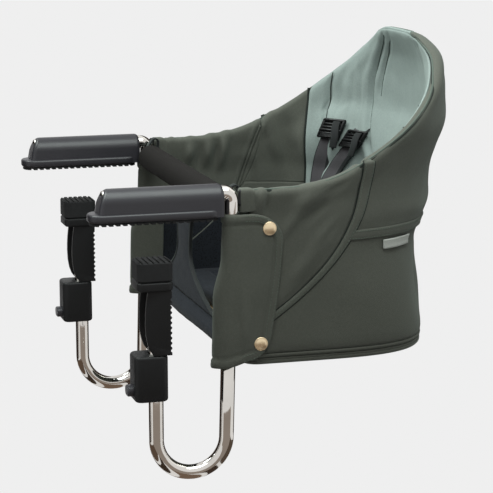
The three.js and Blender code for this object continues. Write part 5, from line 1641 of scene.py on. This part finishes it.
def strap_place(strap, across, z, depth):
    """A strap leans outwards as it comes down, the inner one over the outer one."""
    across, z = np.broadcast_arrays(np.asarray(across, float), np.asarray(z, float))
    lean = smooth((WEB_TOPS[strap] - z) / WEB_LEAN_RUN)
    share = lerp(WEB_TOP_SHARES[strap], WEB_FOOT_SHARES[strap], lean)
    def web(s, lift=0.0):
        return cover(s, z, PANEL_WALL + PAD_GAP + pad_crown(s, z) + WEB_CLEARANCE + depth + lift)
    rate = np.linalg.norm((web(share + 0.01) - web(share - 0.01))[..., :2], axis=-1) / 0.02
    return web(share + across / rate, WEB_LIFTS[strap] * lean)


def rounded_bar(a, b, radius, flat=1.0, sides=14):
    """A bar with round ends between two points, as vertices and faces."""
    a, b = np.asarray(a, float), np.asarray(b, float)
    way = unit(b - a)
    steps = [(-radius, 0.15), (-radius * 0.7, 0.72), (0.0, 1.0)]
    path = [a + way * s for s, _ in steps] + [b - way * s for s, _ in steps[::-1]]
    widths = [w for _, w in steps] + [w for _, w in steps[::-1]]
    side = unit(np.cross(way, (0, 0, 1.0)))
    up = np.cross(side, way)
    angle = full_turn(sides)
    rings = [p + radius * w * (np.cos(angle)[:, None] * side + flat * np.sin(angle)[:, None] * up)
             for p, w in zip(path, widths)]
    return np.array(rings).reshape(-1, 3), ring_faces(len(rings), sides)


def build_straps():
    for i, name in enumerate(STRAPS):
        z = np.linspace(WEB_FOOT, WEB_TOPS[i], 120)[None]
        across = np.array([-12.5, -12.1, -11.0, -9.8, -5, 0, 4, 6.6, 9.8, 12.1, 12.5])[:, None]
        swell_z = 0.4 * np.sin(z / 17.0 + i) * (1 - (across / 12.5) ** 2)
        tuck = -6.0 * smooth((z - WEB_TOPS[i] + 7) / 7) * (across * 0 + 1)
        top_lift = np.where(np.abs(across) > 12.3, 0.9, np.where(np.abs(across) < 10, 1.8, 1.55))
        low = strap_place(i, across, z, 0.15 + swell_z + tuck)
        high = strap_place(i, across, z, top_lift + swell_z + tuck)
        rings = np.concatenate([low, high[::-1]], 0).transpose(1, 0, 2)
        count, loop = rings.shape[:2]
        # The faces from 6.6 mm to 12.5 mm across on one side of the strap, and the outermost ones on the other,
        # take the black strap_edge finish.
        black = [1 if k % loop in (0, 1, 7, 8, 9, 10, 11, 12, 13, 19, 20, 21) else 0
                 for k in range((count - 1) * loop)] + [0, 0]
        strap = loft(f"harness_strap_{name}_webbing", rings, ["strap_webbing", "strap_edge"], black)
        finish_piece(smooth_by_angle(strap, 45), "webbing", f"harness_strap_{name}")


def build_adjusters():
    """Ladder adjusters: a moulded frame with two crossing bars, a ribbed grip tab and a loose tail."""
    for i, name in enumerate(STRAPS):
        z = WEB_TOPS[i] - 16.0
        centre = strap_place(i, 0.0, z, 1.8 + 3.4)
        along = unit(strap_place(i, 0.0, z + 3, 5.0) - strap_place(i, 0.0, z - 3, 5.0))
        side = unit(strap_place(i, 4.0, z, 5.0) - strap_place(i, -4.0, z, 5.0))
        inward = strap_place(i, 0.0, z, 8.0) - strap_place(i, 0.0, z, 5.0)
        out = unit(np.cross(side, along))
        out *= np.sign(out.dot(inward))
        place = np.stack([side, along, out])
        verts, faces = [], []
        def bar(a, b, radius, flat=1.0):
            some, made = rounded_bar(a, b, radius, flat)
            base = len(verts)
            verts.extend((centre + some @ place).tolist())
            faces.extend(tuple(base + k for k in face) for face in made)
        half, tall = 14.6, 10.6
        for x in (-half, half):
            bar((x, -tall, 0), (x, tall, 0), 2.3, 1.25)
        for y, lift, radius in ((-tall, 0.0, 2.3), (tall, 0.4, 2.3), (-6.4, 0.2, 2.2), (-2.6, 1.2, 2.2),
                                (1.4, 0.2, 2.2), (5.6, -0.6, 2.4)):
            bar((-half, y, lift), (half, y, lift), radius, 1.1)
        for k in range(4):
            y, lift = -tall - 0.6 + k * 1.5, 2.6 - k * 0.25
            bar((-half + 3, y, lift), (half - 3, y, lift), 0.75)
        piece = new_object(f"strap_adjuster_{name}_moulding", verts, faces, ["buckle_black"])
        finish_piece(smooth_by_angle(piece, 50), "black_plastic", f"strap_adjuster_{name}")
        rows = np.linspace(0, 1, 30)[:, None]
        tail_y = lerp(9.0, -24.0, rows)
        tail_x = lerp(6.0, 13.0, smooth(rows * 1.4))
        tail_out = 2.6 + 3.2 * np.sin(np.pi * rows) - 2.2 * rows
        middle = centre + np.concatenate([tail_x, tail_y, tail_out], 1) @ place
        across = np.tile(side, (len(middle), 1))
        normals = np.cross(across, headings(middle))
        normals *= np.sign((normals * out).sum(1, keepdims=True))
        tail = strip_piece(f"strap_tail_{name}", middle, normals, across, np.full(len(middle), 11.0), 0.9,
                           "strap_edge", 0.1)
        finish_piece(tail, "webbing")


# ---------------------------------------------------------------- stage

CAMERA_PLACE = (2.3732, -0.5769, 0.4014)
CAMERA_YAW, CAMERA_PITCH, CAMERA_ROLL = 15.570, 10.868, -0.189
CAMERA_LENS, CAMERA_SENSOR = 157.73, 36.0
FLOOR_Z = -0.74
KEY_FROM = (-0.26, -0.60, 0.86)
ROOM_FROM = (-0.3, 0.75, 0.6)
SOFTBOX_PLACE = (0.44, 0.06, 0.80)
DAYLIGHT = (0.91, 1.0, 0.965)
GROUND_CARD_Z = -0.69


def build_camera():
    yaw, pitch, roll = (math.radians(a) for a in (CAMERA_YAW, CAMERA_PITCH, CAMERA_ROLL))
    level = Vector((-math.cos(yaw), math.sin(yaw), 0.0))
    right = Vector((math.sin(yaw), math.cos(yaw), 0.0))
    ahead = level * math.cos(pitch) - Vector((0, 0, math.sin(pitch)))
    up = level * math.sin(pitch) + Vector((0, 0, math.cos(pitch)))
    across = right * math.cos(roll) + up * math.sin(roll)
    over = up * math.cos(roll) - right * math.sin(roll)
    lens = bpy.data.cameras.new("view")
    lens.lens, lens.sensor_width, lens.clip_end = CAMERA_LENS, CAMERA_SENSOR, 100.0
    camera = place_object("view", lens)
    turn = Matrix((across, over, -ahead)).transposed()
    camera.matrix_world = Matrix.Translation(CAMERA_PLACE) @ turn.to_4x4()
    bpy.context.scene.camera = camera


def pale_where_seen(w, lit, shown):
    """Mixes two shaders: the pale one for camera, glossy and transmitted rays."""
    path = w.node("ShaderNodeLightPath")
    seen = w.maths("MAXIMUM", path.outputs["Is Camera Ray"], path.outputs["Is Transmission Ray"])
    seen = w.maths("MAXIMUM", seen, path.outputs["Is Glossy Ray"])
    mixed = w.node("ShaderNodeMixShader")
    for value, socket in zip((seen, lit, shown), mixed.inputs):
        w.feed(value, socket)
    return mixed.outputs[0]


def stage_plane(name, corners, material):
    """A plane of the stage, from its four corners in metres."""
    mesh = bpy.data.meshes.new(name)
    mesh.from_pydata(corners, [], [(0, 1, 2, 3)])
    mesh.materials.append(material)
    plane = place_object(name, mesh)
    return plane


def level_plane(name, reach, near, far, z, material):
    return stage_plane(name, [(-reach, near, z), (reach, near, z), (reach, far, z), (-reach, far, z)], material)


def blank_material(name):
    """A stage material without nodes, and its wiring."""
    material = bpy.data.materials.new(name)
    material.use_nodes = True
    material.node_tree.nodes.clear()
    return material, Wiring(material.node_tree)


def glow(name, colour):
    """A stage material of one even tone."""
    material, w = blank_material(name)
    even = w.node("ShaderNodeEmission")
    even.inputs["Color"].default_value = colour
    w.feed(even.outputs[0], w.node("ShaderNodeOutputMaterial").inputs["Surface"])
    return material


def build_cards():
    """Cards that only reflections see, so that the chrome gets its dark and bright streaks."""
    for name, start, end, low, high, tone in (
            ("card_left", 200.0, 262.0, -0.68, 1.3, srgb(52, 44, 39)),
            ("card_left_strip", 268.0, 275.0, -0.68, 1.3, srgb(120, 106, 94)),
            ("card_right", 100.0, 164.0, -0.68, 1.3, srgb(58, 50, 45)),
            ("card_low_front", 300.0, 400.0, -0.68, -0.18, srgb(150, 140, 132))):
        reach = 1.5
        (ax, ay), (bx, by) = [(reach * math.cos(math.radians(turn)), reach * math.sin(math.radians(turn)) + 0.05)
                              for turn in (start, end)]
        only_reflected(stage_plane(name, [(ax, ay, low), (bx, by, low), (bx, by, high), (ax, ay, high)],
                                   glow(name, tone)))
    for i, (near, far, tone) in enumerate((
            (-1.2, -0.42, srgb(96, 80, 68)), (-0.34, -0.16, srgb(60, 50, 42)), (-0.06, 0.14, srgb(118, 100, 86)),
            (0.2, 0.34, srgb(66, 54, 46)), (0.4, 1.2, srgb(88, 76, 66)))):
        name = f"card_ground_{i}"
        only_reflected(level_plane(name, 1.2, near, far, GROUND_CARD_Z, glow(name, tone)))


def only_reflected(card):
    """Hides a card from everything but reflections."""
    card.visible_camera = card.visible_diffuse = card.visible_shadow = False
    card.visible_transmission = card.visible_volume_scatter = False


def build_stage(sizes):
    tone = sizes.floor_tone
    paper, w = blank_material("studio_paper")
    plain = w.node("ShaderNodeBsdfDiffuse")
    plain.inputs["Color"].default_value = (0.3, 0.3, 0.3, 1)
    bright = w.node("ShaderNodeEmission")
    bright.inputs["Color"].default_value = (tone, tone, tone, 1)
    w.feed(pale_where_seen(w, plain.outputs[0], bright.outputs[0]),
           w.node("ShaderNodeOutputMaterial").inputs["Surface"])
    level_plane("studio_floor", 24.0, -24.0, 24.0, FLOOR_Z, paper)
    build_cards()

    world = bpy.context.scene.world or bpy.data.worlds.new("studio")
    bpy.context.scene.world = world
    world.use_nodes = True
    world.node_tree.nodes.clear()
    w = Wiring(world.node_tree)
    fill = w.node("ShaderNodeBackground")
    height = w.node("ShaderNodeSeparateXYZ")
    w.feed(w.node("ShaderNodeTexCoord").outputs["Generated"], height.inputs[0])
    around = w.mix(w.remap(height.outputs[2], -0.3, 0.8), (0.12, 0.113, 0.106, 1), (1.0, 0.985, 0.95, 1))
    w.feed(around, fill.inputs["Color"])
    fill.inputs["Strength"].default_value = sizes.fill_strength
    shown = w.node("ShaderNodeBackground")
    shown.inputs["Color"].default_value = (tone, tone, tone, 1)
    w.feed(pale_where_seen(w, fill.outputs[0], shown.outputs[0]),
           w.node("ShaderNodeOutputWorld").inputs["Surface"])

    for name, toward, power, softness in (
            ("window_light", KEY_FROM, sizes.key_strength, 38.0),
            ("room_light", ROOM_FROM, sizes.room_strength, 70.0)):
        lamp = bpy.data.lights.new(name, "SUN")
        lamp.energy, lamp.angle, lamp.color = power, math.radians(softness), DAYLIGHT
        place_object(name, lamp).rotation_euler = Vector(toward).to_track_quat("Z", "Y").to_euler()
    soft = bpy.data.lights.new("top_softbox", "AREA")
    soft.shape, soft.size, soft.size_y, soft.energy = "RECTANGLE", 0.9, 0.7, sizes.softbox_power
    soft.color = DAYLIGHT
    holder = place_object("top_softbox", soft)
    holder.location = SOFTBOX_PLACE
    holder.rotation_euler = (Vector(SOFTBOX_PLACE) - Vector((0, 0.12, 0.0))).to_track_quat("Z", "Y").to_euler()
    bpy.context.scene.view_settings.view_transform = "Standard"


# ---------------------------------------------------------------- add-on layout

def colour_choice(name, description, default):
    return bpy.props.FloatVectorProperty(name=name, description=description, default=default, size=4,
                                         min=0.0, max=1.0, subtype="COLOR")


def amount(name, description, default, low=0.0, **more):
    return bpy.props.FloatProperty(name=name, description=description, default=default, min=low, **more)


class ChairColours(bpy.types.PropertyGroup):
    """Colours of the chair's cloths, metals and mouldings."""
    twill: colour_choice("Twill", "Outer cloth of the seat cover", srgb(90, 91, 84))
    # Partly painted light: this pale tone is partly the lining's own and partly the top light on it, painted into
    # the colour.
    lining: colour_choice("Lining", "Pale cloth inside the back and on the cushions", srgb(147, 158, 155))
    # Partly painted shade: the binding's own tone is darkened for the shade along the rim.
    binding: colour_choice("Binding", "Bound edges and the piped rim line", srgb(88, 97, 90))
    thread: colour_choice("Thread", "Sewing thread", srgb(96, 108, 96))
    # Partly painted shade: besides the mesh's own navy, this colour is darkened for the shade that falls on the
    # mesh under the table.
    mesh: colour_choice("Mesh", "Dark mesh between the legs", srgb(34, 37, 43))
    webbing: colour_choice("Webbing", "Face of the harness straps", srgb(74, 70, 74))
    strap_edge: colour_choice("Strap edge", "Black woven edges and loops", srgb(26, 26, 28))
    chrome: colour_choice("Chrome", "Plated tubes", srgb(226, 222, 216))
    brass: colour_choice("Brass", "Press studs", srgb(240, 219, 182))
    grip: colour_choice("Grip", "Moulded arm grips", srgb(42, 41, 46))
    clamp: colour_choice("Clamp", "Clamp housings and posts", srgb(31, 31, 32))
    foam: colour_choice("Foam", "Foam sleeve on the cross bar", srgb(33, 31, 30))


class ChairSizes(bpy.types.PropertyGroup):
    """Fineness of the cloth and levels of the lights."""
    cloth_step: amount("Cloth step", "Mesh size of the cloth panels", 0.0026, 0.001, max=0.01, unit="LENGTH")
    weave_pitch: amount("Weave pitch", "Width of one twill rib", 0.0012, 0.0003, max=0.005, unit="LENGTH",
                        precision=4)
    key_strength: amount("Key light", "Strength of the soft main light", 2.6)
    room_strength: amount("Room light", "Strength of the light from behind", 0.3)
    fill_strength: amount("Fill light", "Strength of the surrounding light", 0.35)
    softbox_power: amount("Softbox", "Power of the soft box above the chair", 8.5, unit="POWER")
    floor_tone: amount("Floor tone", "Brightness of the pale floor and wall", 0.863, max=1.0)


def scene_settings():
    settings = bpy.context.scene
    return settings.chair_colours, settings.chair_sizes


class CHAIR_OT_finishes(bpy.types.Operator):
    """Make the cloth, metal and plastic finishes, and dress the machined parts with them"""
    bl_idname = "chair.finishes"
    bl_label = "Finishes"

    def execute(self, context):
        build_finishes(*scene_settings())
        dress_cad_nodes()
        return {"FINISHED"}


class CHAIR_OT_tubes(bpy.types.Operator):
    """Bend the chrome side tubes and the clamp arms with their latch slots"""
    bl_idname = "chair.tubes"
    bl_label = "Tubes and clamp arms"

    def execute(self, context):
        build_tubes()
        return {"FINISHED"}


class CHAIR_OT_bars(bpy.types.Operator):
    """Sleeve the cross bar with foam and the seat bar with cloth, and add the keeper loops"""
    bl_idname = "chair.bars"
    bl_label = "Bar sleeves and loops"

    def execute(self, context):
        build_bars()
        build_keepers()
        return {"FINISHED"}


class CHAIR_OT_clamps(bpy.types.Operator):
    """Mould the arm grips, clamp housings and clamp posts"""
    bl_idname = "chair.clamps"
    bl_label = "Grips and clamps"

    def execute(self, context):
        build_grips()
        build_clamps()
        return {"FINISHED"}


class CHAIR_OT_cover(bpy.types.Operator):
    """Sew the cover's panels, seam bands, rim, base and tag"""
    bl_idname = "chair.cover"
    bl_label = "Seat cover"

    def execute(self, context):
        density = scene_settings()[1].cloth_step / MM
        build_panels(density)
        build_front_tabs()
        build_bands()
        build_inner_seams()
        build_rim()
        build_base()
        build_tag()
        return {"FINISHED"}


class CHAIR_OT_cushions(bpy.types.Operator):
    """Fill and sew the back and seat cushions"""
    bl_idname = "chair.cushions"
    bl_label = "Cushions"

    def execute(self, context):
        build_pad_seams(build_back_pad(scene_settings()[1].cloth_step / MM))
        build_seat_pad()
        return {"FINISHED"}


class CHAIR_OT_front(bpy.types.Operator):
    """Hang the apron, the crotch panel and the flaps, and set the press studs"""
    bl_idname = "chair.front"
    bl_label = "Apron, crotch panel and flaps"

    def execute(self, context):
        build_apron()
        build_crotch_panel()
        build_flaps()
        build_studs()
        return {"FINISHED"}


class CHAIR_OT_harness(bpy.types.Operator):
    """Lay the harness straps on the back cushion and thread their adjusters"""
    bl_idname = "chair.harness"
    bl_label = "Harness"

    def execute(self, context):
        build_straps()
        build_adjusters()
        return {"FINISHED"}


class CHAIR_OT_stage(bpy.types.Operator):
    """Set the camera, the pale floor and the soft lights"""
    bl_idname = "chair.stage"
    bl_label = "Stage"

    def execute(self, context):
        build_camera()
        build_stage(scene_settings()[1])
        return {"FINISHED"}


OPERATORS = (CHAIR_OT_finishes, CHAIR_OT_tubes, CHAIR_OT_bars, CHAIR_OT_clamps, CHAIR_OT_cover,
             CHAIR_OT_cushions, CHAIR_OT_front, CHAIR_OT_harness, CHAIR_OT_stage)


class CHAIR_PT_panel(bpy.types.Panel):
    """Lists the chair's pieces in the sidebar"""
    bl_idname = "CHAIR_PT_panel"
    bl_label = "Table chair"
    bl_space_type = "VIEW_3D"
    bl_region_type = "UI"
    bl_category = "Table chair"

    def draw(self, context):
        layout = self.layout
        for group in scene_settings():
            box = layout.box()
            for name in group.__annotations__:
                box.prop(group, name)
        for operator in OPERATORS:
            layout.operator(operator.bl_idname)


CLASSES = (ChairColours, ChairSizes, *OPERATORS, CHAIR_PT_panel)


def register():
    for item in CLASSES:
        bpy.utils.register_class(item)
    bpy.types.Scene.chair_colours = bpy.props.PointerProperty(type=ChairColours)
    bpy.types.Scene.chair_sizes = bpy.props.PointerProperty(type=ChairSizes)


def unregister():
    del bpy.types.Scene.chair_sizes
    del bpy.types.Scene.chair_colours
    for item in reversed(CLASSES):
        bpy.utils.unregister_class(item)


def main():
    register()
    for operator in OPERATORS:
        group, name = operator.bl_idname.split(".")
        getattr(getattr(bpy.ops, group), name)()


if __name__ == "__main__":
    main()
